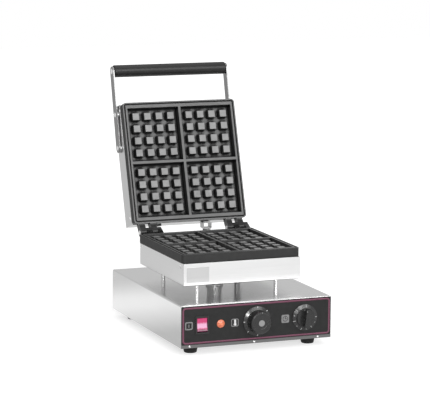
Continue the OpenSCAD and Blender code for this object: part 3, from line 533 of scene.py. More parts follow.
def cast_coat(name, out, rim):
    """Satin black non-stick coat over cast iron, paler where its faces point out: partly wear,
    partly painted highlight.

    out is the direction the cooking side faces, and rim the distance of its rim along it, in
    metres. The inside corners get painted shade, and the hinge lugs are darkened too.
    """
    m = Material(name, Specular_IOR_Level=0.38)
    skin = m.group(CAST_SKIN, Grain=1100.0)
    worn = m.group(WORN_EDGE, Reach=0.0012, Breakup=260.0)["Mask"]
    depth = m.minus(m.vector("DOT_PRODUCT", m.place, out)["Value"], rim)
    normal = m.add("ShaderNodeTexCoord").outputs["Normal"]
    facing = m.span(m.vector("DOT_PRODUCT", normal, out)["Value"], 0.5, 0.7, 0.0, 1.0)
    cloud = m.span(m.noise(m.place, 34.0, 4.0, 0.6, 0.4), 0.3, 0.7, 0.7, 1.0)
    base = m.mix(skin["Mottle"], tone(0.013), tone(0.019))
    # Painted highlight, with wear: faces that point out at these depths turn paler.
    for lowest, highest, level in (COMPARTMENT_FLOORS, STUD_TOPS, RIM):
        over = m.span(depth, (lowest - BAND_FADE) * MM, lowest * MM, 0.0, 1.0)
        under = m.span(depth, highest * MM, (highest + BAND_FADE) * MM, 1.0, 0.0)
        lit_and_worn_band = m.times(m.times(over, under), facing)
        base = m.mix(m.times(lit_and_worn_band, cloud), base, tone(level))
    base = m.mix(m.times(worn, 0.4), base, tone(0.13))
    off_pin = m.vector("SUBTRACT", m.place, tuple(HINGE))["Vector"]
    from_pin = m.vector("LENGTH", m.stretch(off_pin, (0.0, 1.0, 1.0)))["Value"]
    lug = m.span(from_pin, LUG_REACH, LUG_REACH + LUG_FADE, 1.0, 0.0)
    # Painted shade: the inside corners turn near black and lose most of their shine; the hinge lugs
    # darken as well.
    crease_shade = m.group(CREASE_SHADE, Reach=0.0068)["Mask"]
    crease_shade_and_dark_lugs = m.larger(crease_shade, m.times(lug, 0.4))
    m.set("Base Color", m.mix(crease_shade_and_dark_lugs, base, tone(0.018)))
    m.set("Metallic", crease_shade_and_dark_lugs)
    side = m.math("ABSOLUTE", m.parts(normal)[0])
    dull = m.larger(crease_shade, m.span(side, 0.6, 0.8, 0.0, 0.6))
    satin = m.span(m.plus(skin["Mottle"], m.times(dull, 4.0)), 0.0, 5.0, 0.34, 0.80)
    m.set("Roughness", m.mix(lug, satin, tone(0.24)))
    m.bump(skin["Height"], 0.35, 0.06)
    return m.material


def moulded_black(name, level, rough, grain=1600.0, depth=0.02, shine=0.35, worn_level=2.2):
    """Black moulded plastic or rubber with a fine grain, its worn edges paler by worn_level."""
    m = Material(name, Specular_IOR_Level=shine)
    skin = m.group(CAST_SKIN, Grain=grain)
    worn = m.group(WORN_EDGE, Reach=0.0006, Breakup=200.0)["Mask"]
    base = m.mix(skin["Mottle"], tone(level * 0.85), tone(level * 1.2))
    m.set("Base Color", m.mix(m.times(worn, 0.35), base, tone(level * worn_level)))
    m.set("Roughness", m.span(skin["Mottle"], 0.0, 1.0, rough - 0.04, rough + 0.05))
    m.bump(skin["Height"], 0.3, depth)
    return m.material


def panel_black():
    """Printed plastic film of the control panel, faintly clouded."""
    m = Material("panel_black", Specular_IOR_Level=0.22)
    skin = m.group(CAST_SKIN, Grain=2200.0)
    cloud = m.group(SMUDGE, Scale=14.0)["Cloud"]
    m.set("Base Color", m.mix(skin["Mottle"], tone(0.013), tone(0.018)))
    m.set("Roughness", m.span(cloud, 0.0, 1.0, 0.40, 0.50))
    m.bump(skin["Height"], 0.2, 0.012)
    return m.material


def ink_and_glint_paint(name, level, tint=(1.0, 1.0, 1.0)):
    """Screen-printed ink, slightly uneven in cover; also the paint of the dial cap's painted glint.
    """
    m = Material(name, Specular_IOR_Level=0.3)
    cover = m.noise(m.place, 1800.0, 2.0)
    m.set("Base Color", m.mix(cover, tone(level * 0.82, tint), tone(level, tint)))
    m.set("Roughness", m.span(cover, 0.3, 0.7, 0.44, 0.56))
    return m.material


def bright_steel(name, level=0.80, rough=0.16):
    """Turned or plated steel of small parts."""
    m = Material(name, Metallic=1.0)
    cloud = m.group(SMUDGE, Scale=220.0)["Cloud"]
    fine = m.noise(m.place, 2600.0, 2.0)
    m.set("Base Color", m.mix(cloud, tone(level), tone(level * 0.88)))
    m.set("Roughness", m.span(cloud, 0.0, 1.0, rough, rough + 0.1))
    m.bump(fine, 0.12, 0.008)
    return m.material


def lit_rocker():
    """Translucent magenta rocker, palest in the middle where the neon lamp sits.

    Its lower end and its sides are darkest. Heights and widths are from the rocker's middle.
    """
    m = Material("lit_rocker", Coat_Weight=0.5, Coat_Roughness=0.12, Roughness=0.3,
                 Emission_Strength=0.8)
    across = m.minus(m.parts(m.place)["X"], middle("rocker").x)
    height = m.minus(m.parts(m.place)["Z"], middle("rocker").z)
    cloud = m.times(m.minus(m.noise(m.place, 260.0), 0.5), 0.005)
    height = m.plus(height, cloud)
    half = (high("rocker").x - low("rocker").x) / 2
    above = m.span(height, 1.0 * MM, 5.0 * MM, 1.0, 0.0)
    below = m.span(height, -7.6 * MM, -4.6 * MM, 0.0, 1.0)
    within = m.span(m.math("ABSOLUTE", across), half - 2.6 * MM, half - 1.2 * MM, 1.0, 0.0)
    glow = m.times(m.times(above, below), within)
    foot = m.span(height, -9.4 * MM, -6.8 * MM, 1.0, 0.0)
    edge = m.larger(foot, m.minus(1.0, within))
    lit_shell = m.mix(edge, (0.46, 0.02, 0.11, 1.0), (0.14, 0.006, 0.05, 1.0))
    m.set("Emission Color", m.mix(glow, lit_shell, (0.68, 0.34, 0.52, 1.0)))
    shell = m.mix(edge, (0.20, 0.01, 0.06, 1.0), (0.05, 0.004, 0.02, 1.0))
    m.set("Base Color", m.mix(glow, shell, (0.26, 0.14, 0.20, 1.0)))
    return m.material


def amber_lens():
    """Amber lens whose moulded facets break up the light behind it."""
    m = Material("amber_lens", Coat_Weight=0.6, Coat_Roughness=0.08, Roughness=0.28,
                 Emission_Strength=0.45)
    facets = m.made("ShaderNodeTexVoronoi", {"Vector": m.place, "Scale": 520.0})
    cells = m.parts(facets.outputs["Color"])[0]
    m.set("Base Color", m.mix(cells, (0.34, 0.06, 0.025, 1.0), (0.54, 0.15, 0.07, 1.0)))
    m.set("Emission Color", m.mix(cells, (0.40, 0.08, 0.03, 1.0), (0.66, 0.21, 0.10, 1.0)))
    m.bump(facets.outputs["Distance"], 0.5, 0.25)
    return m.material


def plain_inside(name, colour, rough, metallic=0.0):
    """Pieces that only show through the vents or from below."""
    m = Material(name, Metallic=metallic)
    fine = m.noise(m.place, 700.0)
    m.set("Base Color", m.mix(fine, tone(0.8, colour), tone(1.0, colour)))
    m.set("Roughness", m.span(fine, 0.3, 0.7, rough - 0.06, rough + 0.06))
    m.bump(fine, 0.2, 0.03)
    return m.material


UP = (0.0, 0.0, 1.0)
LID_FACE = (0.0, -math.sin(OPEN_ANGLE), -math.cos(OPEN_ANGLE))
LUGS_END = 60.0 * MM  # further from the hinge pin there is only plate


def rim_level(node, out):
    """How far the rim of a plate stands along the direction out, its hinge lugs left aside."""
    return max(Vector(out).dot(vert.co) for vert in frame["nodes"][node].data.vertices
               if (vert.co - HINGE).yz.length > LUGS_END)


SLOT_MATERIAL = {
    "stainless": brushed_steel("sheet_grain_across", "X"),
    "deck_steel": brushed_steel("deck_sheet", "X", 0.77, (0.12, 0.19), 0.005, 1.4),
    "arm_steel": brushed_steel("bar_steel", "Z", 0.27, (0.26, 0.36)),
    "post_steel": bright_steel("post_steel", 0.70, 0.22),
    "loop_steel": brushed_steel("loop_steel", "X", 0.55, (0.32, 0.42), 0.02, 2.0),
    "bright_steel": bright_steel("bright_steel"),
    "badge": brushed_steel("badge_satin", "X", 0.58, (0.30, 0.38), 0.012, 1.6),
    "duct_grey": brushed_steel("duct_zinc", "Z", 0.44, (0.40, 0.52), 0.03, 0.6),
    "cast": cast_coat("cast_coat", UP, rim_level("lower_plate", UP)),
    "panel_black": panel_black(),
    "knob_black": moulded_black("knob_black", 0.015, 0.24, shine=0.5, worn_level=4.0),
    "grip_black": moulded_black("grip_black", 0.010, 0.36),
    "frame_black": moulded_black("switch_black", 0.012, 0.28, shine=0.45),
    "foot_rubber": moulded_black("foot_rubber", 0.014, 0.55, 900.0, 0.05, 0.25),
    "gland_black": moulded_black("gland_black", 0.018, 0.42),
    "rocker_lit": lit_rocker(),
    "lamp_amber": amber_lens(),
    "inner_metal": plain_inside("inner_metal", (0.5, 0.5, 0.48), 0.4, 1.0),
    "inner_plastic": plain_inside("inner_plastic", (0.62, 0.60, 0.52), 0.5),
    "copper": plain_inside("copper_tube", (0.75, 0.40, 0.22), 0.35, 1.0),
    "fibre": plain_inside("fibre_block", (0.70, 0.68, 0.60), 0.9),
}
BRIGHT = SLOT_MATERIAL["bright_steel"]
OWN_MATERIAL = {  # of the new pieces that don't wear their slot's material, by CAD node
    # Painted shade: stainless taken down to 0.18, so the bottom sheet's front lip looks shaded
    # under the panel.
    "bottom_plate": brushed_steel("bottom_sheet", "X", 0.18, (0.34, 0.44), 0.02),
    "upper_cover": brushed_steel("cover_sheet", "X", 0.68),
    "upper_plate": cast_coat("lid_cast_coat", LID_FACE, rim_level("upper_plate", LID_FACE)),
    "dial_disc": bright_steel("disc_satin", 0.34, 0.34),
    "post_nuts": BRIGHT,
    "arm_nuts": BRIGHT,
}
PLUM_INK = ink_and_glint_paint("plum_ink", 1.0, (0.165, 0.055, 0.092))
WHITE_INK = ink_and_glint_paint("white_ink", 0.62)
DIAL_INK = ink_and_glint_paint("dial_ink", 0.40)
TIMER_INK = ink_and_glint_paint("timer_ink", 0.27)
# Paint of the painted glint on the dial's cap.
GLINT_PAINT = ink_and_glint_paint("faint_ink", 0.075)
GREY_INK = ink_and_glint_paint("grey_ink", 0.21)
DARK_INK = ink_and_glint_paint("dark_ink", 0.03)

for node, cad_object in frame["nodes"].items():
    cad_object.data.materials.clear()
    cad_object.data.materials.append(SLOT_MATERIAL[slot_of(node)])


# ------------ rounded copies of the CAD pieces that show

CORNERS = (("fl", "front_left"), ("fr", "front_right"), ("rl", "rear_left"), ("rr", "rear_right"))
DRESSED = [
    # node, new piece, edge radius in mm, segments
    ("base_housing", "deck_and_sides", 0.35, 2),
    ("bottom_plate", "bottom_and_lip", 0.3, 2),
    ("control_panel", "front_panel", 0.3, 2),
    ("lower_tray", "tray_shell", 0.3, 2),
    ("upper_cover", "cover_shell", 0.3, 2),
    ("lower_plate", "lower_waffle_plate", 0.8, 3),
    ("upper_plate", "upper_waffle_plate", 0.8, 3),
    ("handle_arm_left", "left_handle_bar", 0.35, 2),
    ("handle_arm_right", "right_handle_bar", 0.35, 2),
    ("handle_grip", "grip_sleeve", 0.0, 2),
    ("stop_loop", "bent_stop_loop", 0.3, 2),
    ("rocker_frame", "switch_bezel", 0.5, 3),
    ("rocker", "switch_rocker_cap", 0.5, 3),
    ("lamp_lens", "lamp_lens_cap", 0.3, 2),
    ("badge_plate", "bare_badge_plate", 0.15, 2),
    ("thermostat_dial", "dial_body", 0.35, 3),
    ("dial_disc", "dial_silver_disc", 0.15, 2),
    ("timer_knob", "timer_knob_body", 0.7, 3),
    ("wire_duct", "zinc_wire_duct", 0.4, 2),
    ("bulb_sleeve", "zinc_bulb_sleeve", 0.3, 2),
    *[("post_" + key, corner + "_post", 0.4, 2) for key, corner in CORNERS],
    ("post_nuts", "post_lock_nuts", 0.25, 2),
    *[("foot_" + key, corner + "_foot", 0.0, 2) for key, corner in CORNERS],
    ("hinge_pin_left", "left_hinge_pin", 0.2, 2),
    ("hinge_pin_right", "right_hinge_pin", 0.2, 2),
    ("pin_clips", "hinge_pin_clips", 0.1, 2),
    ("arm_nuts", "bar_bolt_nuts", 0.25, 2),
    ("cable_gland", "cord_gland", 0.3, 2),
    ("terminal_block", "mains_terminal_block", 0.3, 2),
]

for row in DRESSED:
    dressed(*row)


# ------------ marks printed and moulded on, and a painted glint, by Geometry Nodes

INT, MATERIAL, OBJECT, GEOMETRY = (
    "NodeSocketInt", "NodeSocketMaterial", "NodeSocketObject", "NodeSocketGeometry")
PLACED = {"Place": VECTOR, "Ink": MATERIAL}
UPRIGHT = (math.pi / 2, 0.0, 0.0)  # turns what lies face up to face the front
SEAM = 0.001 * MM  # points nearer than this close a seam


def geometry_tree(name, **inputs):
    """A Geometry Nodes tree that takes and gives geometry, and has these named inputs."""
    return named_tree(name, "GeometryNodeTree", {"Geometry": GEOMETRY, **inputs},
                      {"Geometry": GEOMETRY})


def ended(nodes, geometry, finish, out):
    """Every tree's end: real geometry with its finish on it."""
    real = nodes.first("GeometryNodeRealizeInstances", {"Geometry": geometry})
    painted = nodes.first("GeometryNodeSetMaterial", {"Geometry": real, "Material": finish})
    nodes.link(painted, out.inputs[0])
    return nodes.tree


def grown(name, tree, carrier=None, **values):
    """A piece made by a tree on a carrier mesh; values name the tree's inputs."""
    piece = carrier or new_object(name, bmesh.new())
    modifier = piece.modifiers.new("maker", "NODES")
    modifier.node_group = tree
    for item in tree.interface.items_tree:
        if item.in_out == "INPUT" and item.name in values:
            modifier[item.identifier] = values[item.name]
    baked(piece)
    with edited(piece) as bm:
        bmesh.ops.recalc_face_normals(bm, faces=bm.faces)
    return piece


def rectangle(nodes, width, height):
    return nodes.first("GeometryNodeCurvePrimitiveQuadrilateral",
                       {"Width": width, "Height": height})


def rounded_rectangle(nodes, given, corner_steps):
    """A rectangle lying flat, of the tree's own Width, Height and Corner."""
    return nodes.first("GeometryNodeFilletCurve", {
        "Curve": rectangle(nodes, given["Width"], given["Height"]),
        "Count": corner_steps, "Radius": given["Corner"]}, mode="POLY")


def drawn_line(nodes, given, path, caps):
    """A line along a path, in print or as a painted glint, as wide and thick as the tree's Line and
    Thickness.
    """
    nib = rectangle(nodes, given["Line"], given["Thickness"])
    return nodes.first("GeometryNodeCurveToMesh", {
        "Curve": path, "Profile Curve": nib, "Fill Caps": caps})


def stood_up(nodes, given, flat, out):
    """The end of a flat mark's tree: it faces the front at the tree's Place, in its Ink."""
    stood = nodes.first("GeometryNodeTransform", {
        "Geometry": flat, "Translation": given["Place"], "Rotation": UPRIGHT})
    return ended(nodes, stood, given["Ink"], out)


def outline_tree():
    """A line of ink round a rectangle with round corners."""
    nodes, given, out = geometry_tree("printed_outline", Width=FLOAT, Height=FLOAT, Corner=FLOAT,
                                      Line=FLOAT, Thickness=FLOAT, **PLACED)
    path = rounded_rectangle(nodes, given, 6)
    return stood_up(nodes, given, drawn_line(nodes, given, path, False), out)


def arc_tree():
    """A bent line about the mark's place: the painted glint on the dial's cap."""
    nodes, given, out = geometry_tree("painted_glint_arc", Radius=FLOAT, Start=FLOAT, Sweep=FLOAT,
                                      Line=FLOAT, Thickness=FLOAT, **PLACED)
    path = nodes.first("GeometryNodeCurveArc", {
        "Resolution": 24, "Radius": given["Radius"], "Start Angle": given["Start"],
        "Sweep Angle": given["Sweep"]}, mode="RADIUS")
    return stood_up(nodes, given, drawn_line(nodes, given, path, True), out)


def patch_tree():
    """A filled patch of ink with round corners, turned in its own plane."""
    nodes, given, out = geometry_tree("printed_patch", Width=FLOAT, Height=FLOAT, Corner=FLOAT,
                                      Thickness=FLOAT, Turn=FLOAT, **PLACED)
    path = rounded_rectangle(nodes, given, 5)
    face = nodes.first("GeometryNodeFillCurve", {"Curve": path}, mode="NGONS")
    raised = nodes.first("GeometryNodeExtrudeMesh", {
        "Mesh": face, "Offset Scale": given["Thickness"]})
    back = nodes.first("GeometryNodeFlipFaces", {"Mesh": face})
    both = nodes.add("GeometryNodeJoinGeometry")
    nodes.link(raised, both.inputs[0])
    nodes.link(back, both.inputs[0])
    shut = nodes.first("GeometryNodeMergeByDistance", {
        "Geometry": both.outputs[0], "Distance": SEAM})
    turned = nodes.first("GeometryNodeTransform", {
        "Geometry": shut, "Rotation": nodes.joined(0.0, 0.0, given["Turn"])})
    return stood_up(nodes, given, turned, out)


def ring_tree():
    """Marks round a knob: bars, or bars and dots by turns, leaning with the bevel they are on."""
    nodes, given, out = geometry_tree(
        "ring_of_marks", Count=INT, Radius=FLOAT, First=FLOAT, Step=FLOAT, Bar_Length=FLOAT,
        Bar_Width=FLOAT, Dot=FLOAT, Thickness=FLOAT, Lean=FLOAT, **PLACED)
    index = nodes.add("GeometryNodeInputIndex").outputs[0]
    angle = nodes.plus(given["First"], nodes.times(index, given["Step"]))
    across = nodes.times(given["Radius"], nodes.math("COSINE", angle))
    up = nodes.times(given["Radius"], nodes.math("SINE", angle))
    points = nodes.first("GeometryNodePoints", {
        "Count": given["Count"], "Position": nodes.joined(across, 0.0, up)})
    bar = nodes.first("GeometryNodeMeshCube", {
        "Size": nodes.joined(given["Bar_Length"], given["Thickness"], given["Bar_Width"])})
    flat_dot = nodes.first("GeometryNodeMeshCylinder", {
        "Vertices": 14, "Radius": nodes.times(given["Dot"], 0.5), "Depth": given["Thickness"]})
    dot = nodes.first("GeometryNodeTransform", {"Geometry": flat_dot, "Rotation": UPRIGHT})
    dotted = nodes.times(nodes.math("MODULO", index, 2.0),
                         nodes.math("GREATER_THAN", given["Dot"], 0.0))
    lean = nodes.joined(0.0, 0.0, given["Lean"])
    turn = nodes.joined(0.0, nodes.times(angle, -1.0), 0.0)
    both = nodes.add("GeometryNodeJoinGeometry")
    for mark, chosen in ((bar, nodes.minus(1.0, dotted)), (dot, dotted)):
        leaning = nodes.first("GeometryNodeTransform", {"Geometry": mark, "Rotation": lean})
        placed = nodes.first("GeometryNodeInstanceOnPoints", {
            "Points": points, "Selection": chosen, "Instance": leaning, "Rotation": turn})
        nodes.link(placed, both.inputs[0])
    moved = nodes.first("GeometryNodeTransform", {
        "Geometry": both.outputs[0], "Translation": given["Place"]})
    return ended(nodes, moved, given["Ink"], out)


def heads_tree():
    """A screw on every face of the carrier, head outwards, each turned its own way."""
    nodes, given, out = geometry_tree("screws_on_faces", Screw=OBJECT, Seed=INT, Finish=MATERIAL)
    normal = nodes.add("GeometryNodeInputNormal").outputs[0]
    kept = nodes.add("GeometryNodeCaptureAttribute", domain="FACE")
    kept.capture_items.new("VECTOR", "Normal")
    nodes.link(given["Geometry"], kept.inputs[0])
    nodes.link(normal, kept.inputs[1])
    points = nodes.first("GeometryNodeMeshToPoints", {"Mesh": kept.outputs[0]}, mode="FACES")
    facing = nodes.first("FunctionNodeAlignRotationToVector", {"Vector": kept.outputs[1]}, axis="Z")
    chance = nodes.made("FunctionNodeRandomValue", {"Seed": given["Seed"], 2: 0.0, 3: math.pi},
                        data_type="FLOAT")
    spin = nodes.first("FunctionNodeAxisAngleToRotation", {
        "Axis": (0.0, 0.0, 1.0), "Angle": chance.outputs[1]})
    turned = nodes.first("FunctionNodeRotateRotation", {
        "Rotation": facing, "Rotate By": spin}, rotation_space="LOCAL")
    screw = nodes.made("GeometryNodeObjectInfo", {"Object": given["Screw"], "As Instance": True})
    placed = nodes.first("GeometryNodeInstanceOnPoints", {
        "Points": points, "Instance": screw.outputs["Geometry"], "Rotation": turned})
    return ended(nodes, placed, given["Finish"], out)


OUTLINE, ARC, PATCH, RING, HEADS = (
    outline_tree(), arc_tree(), patch_tree(), ring_tree(), heads_tree())
INK = 0.08 * MM  # thickness of all print
LAYER = 0.9 * INK  # how far a second print stands before the first
ROW = 58.5  # height of the controls' middles, in mm


def on_panel(x, z, proud=INK / 2):
    """A place on the panel's face, x from the middle and z from the floor, in mm."""
    return Vector((x * MM, PANEL_Y - proud, z * MM))


def print_outline(name, x, z, width, height, corner, line, ink):
    piece = grown(name, OUTLINE, Width=width * MM, Height=height * MM, Corner=corner * MM,
                  Line=line * MM, Thickness=INK, Place=on_panel(x, z), Ink=ink)
    return finish_piece(piece, ink, "base")


def print_patch(name, x, z, width, height, corner, ink, turn=0.0, layer=0):
    piece = grown(name, PATCH, Width=width * MM, Height=height * MM, Corner=corner * MM,
                  Thickness=INK, Turn=math.radians(turn), Place=on_panel(x, z, layer * LAYER),
                  Ink=ink)
    return finish_piece(piece, ink, "base")


border_width = (high("control_panel").x - low("control_panel").x) / MM - 7.4
print_outline("panel_border", 0.0, ROW, border_width, 66.6, 5.0, 3.3, PLUM_INK)
print_outline("power_mark_frame", -137.5, ROW, 13.0, 13.0, 1.6, 2.4, GREY_INK)
print_patch("power_mark_bar", -137.5, ROW, 1.6, 6.2, 0.7, GREY_INK)
print_outline("heat_mark_frame", -45.0, ROW, 13.4, 13.4, 2.0, 1.6, GREY_INK)
print_patch("heat_mark_stem", -44.6, ROW + 0.9, 3.8, 10.4, 1.5, WHITE_INK)
print_patch("heat_mark_bulb", -44.6, ROW - 3.3, 5.6, 4.6, 2.2, WHITE_INK, layer=1)
print_patch("time_mark_ground", 58.0, ROW, 15.6, 15.6, 2.4, GREY_INK)
print_outline("time_mark_rim", 58.0, ROW, 9.6, 9.6, 4.75, 1.3, DARK_INK)
print_patch("time_mark_long_hand", 58.0, ROW + 1.8, 1.2, 4.4, 0.5, DARK_INK, layer=1)
print_patch("time_mark_short_hand", 59.3, ROW, 1.2, 3.4, 0.5, DARK_INK, turn=90.0, layer=1)


def ring(name, body, place, front, ink, count, radius, first, step, bar, lean=0.0, dot=0.0):
    """Marks round a knob, front mm before the panel; in mm and degrees, but lean in radians."""
    piece = grown(name, RING, Place=place - Vector((0.0, front * MM, 0.0)), Thickness=INK, Ink=ink,
                  Count=count, Radius=radius * MM, First=math.radians(first),
                  Step=math.radians(step), Bar_Length=bar[0] * MM, Bar_Width=bar[1] * MM,
                  Lean=lean, Dot=dot * MM)
    return finish_piece(piece, ink, body)


DIAL_LEAN = math.atan2(3.0, 6.5)  # rise over run of the knobs' bevelled skirts
TIMER_LEAN = math.atan2(2.8, 7.0)
ring("dial_marks", "thermostat_knob", DIAL, 2.80, DIAL_INK, 8, 26.9, 90.0, 45.0,
     (3.0, 1.9), DIAL_LEAN)
ring("dial_pointer", "thermostat_knob", DIAL, 23.22, GREY_INK, 1, 19.7, 87.0, 0.0,
     (2.0, 1.8), math.pi / 4)
ring("timer_marks", "timer_dial", TIMER, 3.14, TIMER_INK, 11, 22.7, 84.0, 27.7,
     (4.8, 1.8), TIMER_LEAN, dot=2.2)
ring("timer_pointer", "timer_dial", TIMER, 20.03, GREY_INK, 1, 14.8, 98.0, 0.0, (3.6, 1.2))
# Painted glint: a faint arc on the dial's cap, below and right of its disc, stands in for the shine
# of a ring round the disc.
arc = grown("dial_cap_arc", ARC, Radius=11.0 * MM, Start=math.radians(-100.0),
            Sweep=math.radians(75.0), Line=1.3 * MM, Thickness=INK,
            Place=DIAL - Vector((0.0, 24.0 * MM, 0.0)), Ink=GLINT_PAINT)
finish_piece(arc, GLINT_PAINT, "thermostat_knob")


# ------------ screws with their recesses, by Geometry Nodes

ROUND_STEPS = 28  # corners of what is turned, and rings of a dome
DOME_STEPS = 6


def turned_solid(name, outline):
    """Closed solid turned about Z from (radius, height) pairs in mm, from the axis to the axis."""
    bm = bmesh.new()
    rings = []
    for radius, height in outline:
        count = ROUND_STEPS if radius else 1
        rings.append([bm.verts.new((radius * MM * math.cos(math.tau * i / count),
                                    radius * MM * math.sin(math.tau * i / count), height * MM))
                      for i in range(count)])
    for above, below in zip(rings, rings[1:]):
        for i in range(ROUND_STEPS):
            corners = [ring[k % len(ring)]
                       for ring, k in ((above, i), (above, i + 1), (below, i + 1), (below, i))]
            bm.faces.new(list(dict.fromkeys(corners)))
    bmesh.ops.recalc_face_normals(bm, faces=bm.faces)
    return new_object(name, bm)


def cut(piece, tool):
    """The piece with the tool's shape taken out of it."""
    boolean = piece.modifiers.new("recess", "BOOLEAN")
    boolean.object = tool
    boolean.operation = "DIFFERENCE"
    boolean.solver = "EXACT"
    baked(piece)
    bpy.data.objects.remove(tool)
    return piece


def domed(head_d, head_h, shank_d, shank_l, collar=()):
    """Outline in mm of a round-headed screw on the plane z = 0.

    collar gives a spacer on its shank as (across, top, bottom).
    """
    head_r, shank_r = head_d / 2, shank_d / 2
    dome_r = (head_r * head_r + head_h * head_h) / (2 * head_h)
    reach = math.asin(min(1.0, head_r / dome_r))
    top = [(dome_r * math.sin(reach * i / DOME_STEPS),
            head_h - dome_r + dome_r * math.cos(reach * i / DOME_STEPS))
           for i in range(DOME_STEPS + 1)]
    top[0], top[-1] = (0, head_h), (head_r, 0.0)
    neck = [(shank_r, 0.0)]
    if collar:
        across, z_top, z_low = collar
        neck += [(shank_r, z_top), (across / 2, z_top), (across / 2, z_low), (shank_r, z_low)]
    return top + neck + [(shank_r, -shank_l), (0, -shank_l)]


# Recesses as shares of the head's width, and how far their tools reach as shares of its height.
CROSS_LENGTH, CROSS_WIDTH = 0.62, 0.15
CROSS_TOOL_HEIGHT, CROSS_TOOL_MIDDLE = 1.2, 1.02
SOCKET_RADIUS, SOCKET_TOOL_HEIGHT = 0.27, 1.3


def cross_screw(name, head_d, head_h, shank_d, shank_l):
    """Pan-head screw with a cross recess, its sizes in mm."""
    screw = turned_solid(name, domed(head_d, head_h, shank_d, shank_l))
    for turn in (0.0, math.pi / 2):
        bm = bmesh.new()
        bmesh.ops.create_cube(bm, size=1.0, matrix=Matrix.Rotation(turn, 4, "Z") @ Matrix.Diagonal((
            head_d * CROSS_LENGTH * MM, head_d * CROSS_WIDTH * MM,
            head_h * CROSS_TOOL_HEIGHT * MM, 1.0)))
        for vert in bm.verts:
            vert.co.z += head_h * CROSS_TOOL_MIDDLE * MM
        cut(screw, new_object("recess", bm))
    return screw


def socket_screw(name, head_d, head_h, shank_d, shank_l, collar=()):
    """Button-head screw with a hexagon socket, its sizes in mm."""
    screw = turned_solid(name, domed(head_d, head_h, shank_d, shank_l, collar))
    radius = head_d * SOCKET_RADIUS * MM
    bm = bmesh.new()
    bmesh.ops.create_cone(bm, cap_ends=True, segments=6, radius1=radius, radius2=radius,
                          depth=head_h * SOCKET_TOOL_HEIGHT * MM,
                          matrix=Matrix.Translation((0.0, 0.0, head_h * MM)))
    return cut(screw, new_object("socket", bm))


def carrier(name, seats):
    """One small face for each screw, from (place, outward direction) pairs."""
    bm = bmesh.new()
    for place, out in seats:
        side = out.orthogonal().normalized() * MM
        other = out.cross(side)
        bm.faces.new([bm.verts.new(place + a * side + b * other)
                      for a, b in ((-1, -1), (1, -1), (1, 1), (-1, 1))])
    return new_object(name, bm)


def screws(node, name, seats, screw, seed):
    """Recessed screws in place of a CAD node of plain ones."""
    piece = grown(name, HEADS, carrier(name, seats), Screw=screw, Seed=seed, Finish=BRIGHT)
    bpy.data.objects.remove(screw)
    stand_in(shaded(piece), node)


def reach_x(boxes):
    """The longest of some solids from left to right, in mm."""
    return max(b.x - a.x for a, b in boxes) / MM


def side_seats(boxes, seat):
    """Seats on the left and right sides, at the distance seat from the middle, in metres."""
    found = []
    for corner_low, corner_high in boxes:
        centre = (corner_low + corner_high) / 2
        side = math.copysign(1.0, centre.x)
        found.append((Vector((side * seat, centre.y, centre.z)), Vector((side, 0.0, 0.0))))
    return found


SIDE_HEAD = 2.0  # height in mm of the head of a tray or cover screw
SHORTEST_BOLT = 4.0 * MM  # the node's shorter solids are the bolts' spacers
SLACK = 0.02  # of a spacer between the bar and the cover, in mm

lip_boxes = loose_boxes("lip_screws")
lip_seats = [(Vector(((a.x + b.x) / 2, PANEL_Y, (a.z + b.z) / 2)), Vector((0.0, -1.0, 0.0)))
             for a, b in lip_boxes]
lip_reach = (lip_boxes[0][1].y - PANEL_Y) / MM
screws("lip_screws", "front_lip_screws", lip_seats,
       cross_screw("lip_screw", 5.0, 1.6, 3.0, lip_reach), 5)

side_x = high("lower_tray").x
for node, name, seed in (("tray_screws", "tray_side_screws", 7),
                         ("cover_screws", "cover_side_screws", 11)):
    boxes = loose_boxes(node)
    screws(node, name, side_seats(boxes, side_x),
           cross_screw("side_screw", 7.4, SIDE_HEAD, 4.0, reach_x(boxes) - SIDE_HEAD), seed)

bar_x = high("handle_arm_right").x
bar_thickness = (bar_x - low("handle_arm_right").x) / MM
bolt_boxes = [(a, b) for a, b in loose_boxes("arm_bolts") if b.x - a.x > SHORTEST_BOLT]
bolt_head = (high("arm_bolts").x - bar_x) / MM
spacer = (13.0, -bar_thickness - SLACK, -(bar_x - side_x) / MM + SLACK)
screws("arm_bolts", "bar_bolts_and_spacers", side_seats(bolt_boxes, bar_x),
       socket_screw("bar_bolt", 10.0, bolt_head, 6.0, reach_x(bolt_boxes) - bolt_head, spacer), 13)

grip_boxes = loose_boxes("grip_screws")
grip_head = (high("grip_screws").x - bar_x) / MM
screws("grip_screws", "grip_end_screws", side_seats(grip_boxes, bar_x),
       socket_screw("grip_screw", 12.0, grip_head, 6.0, reach_x(grip_boxes) - grip_head), 17)


# ------------ camera, floor and light

CAMERA_PLACE = (-1.5874, -4.04715, 0.9416)
CAMERA_ANGLES = (21.488, 9.083, 0.320)  # right of straight back, down, and roll, in degrees
SENSOR = 36.0  # width of the film, in mm
FOCAL_WIDTHS = 2234.0 / 430.0  # focal length in widths of the film


def camera():
    """Seen from the front left, a little above."""
    yaw, pitch, roll = (math.radians(angle) for angle in CAMERA_ANGLES)
    forward = Vector((math.sin(yaw) * math.cos(pitch), math.cos(yaw) * math.cos(pitch),
                      -math.sin(pitch)))
    level = Vector((math.cos(yaw), -math.sin(yaw), 0.0))
    upright = level.cross(forward)
    right = math.cos(roll) * level + math.sin(roll) * upright
    up = -math.sin(roll) * level + math.cos(roll) * upright
    data = bpy.data.cameras.new("camera")
    data.sensor_fit = "HORIZONTAL"
    data.sensor_width = SENSOR
    data.lens = FOCAL_WIDTHS * SENSOR
    data.clip_end = 50.0
    cam = bpy.data.objects.new("camera", data)
    turn = Matrix((right, up, -forward)).transposed().to_4x4()
    cam.matrix_world = Matrix.Translation(CAMERA_PLACE) @ turn
    bpy.context.scene.collection.objects.link(cam)
    bpy.context.scene.camera = cam


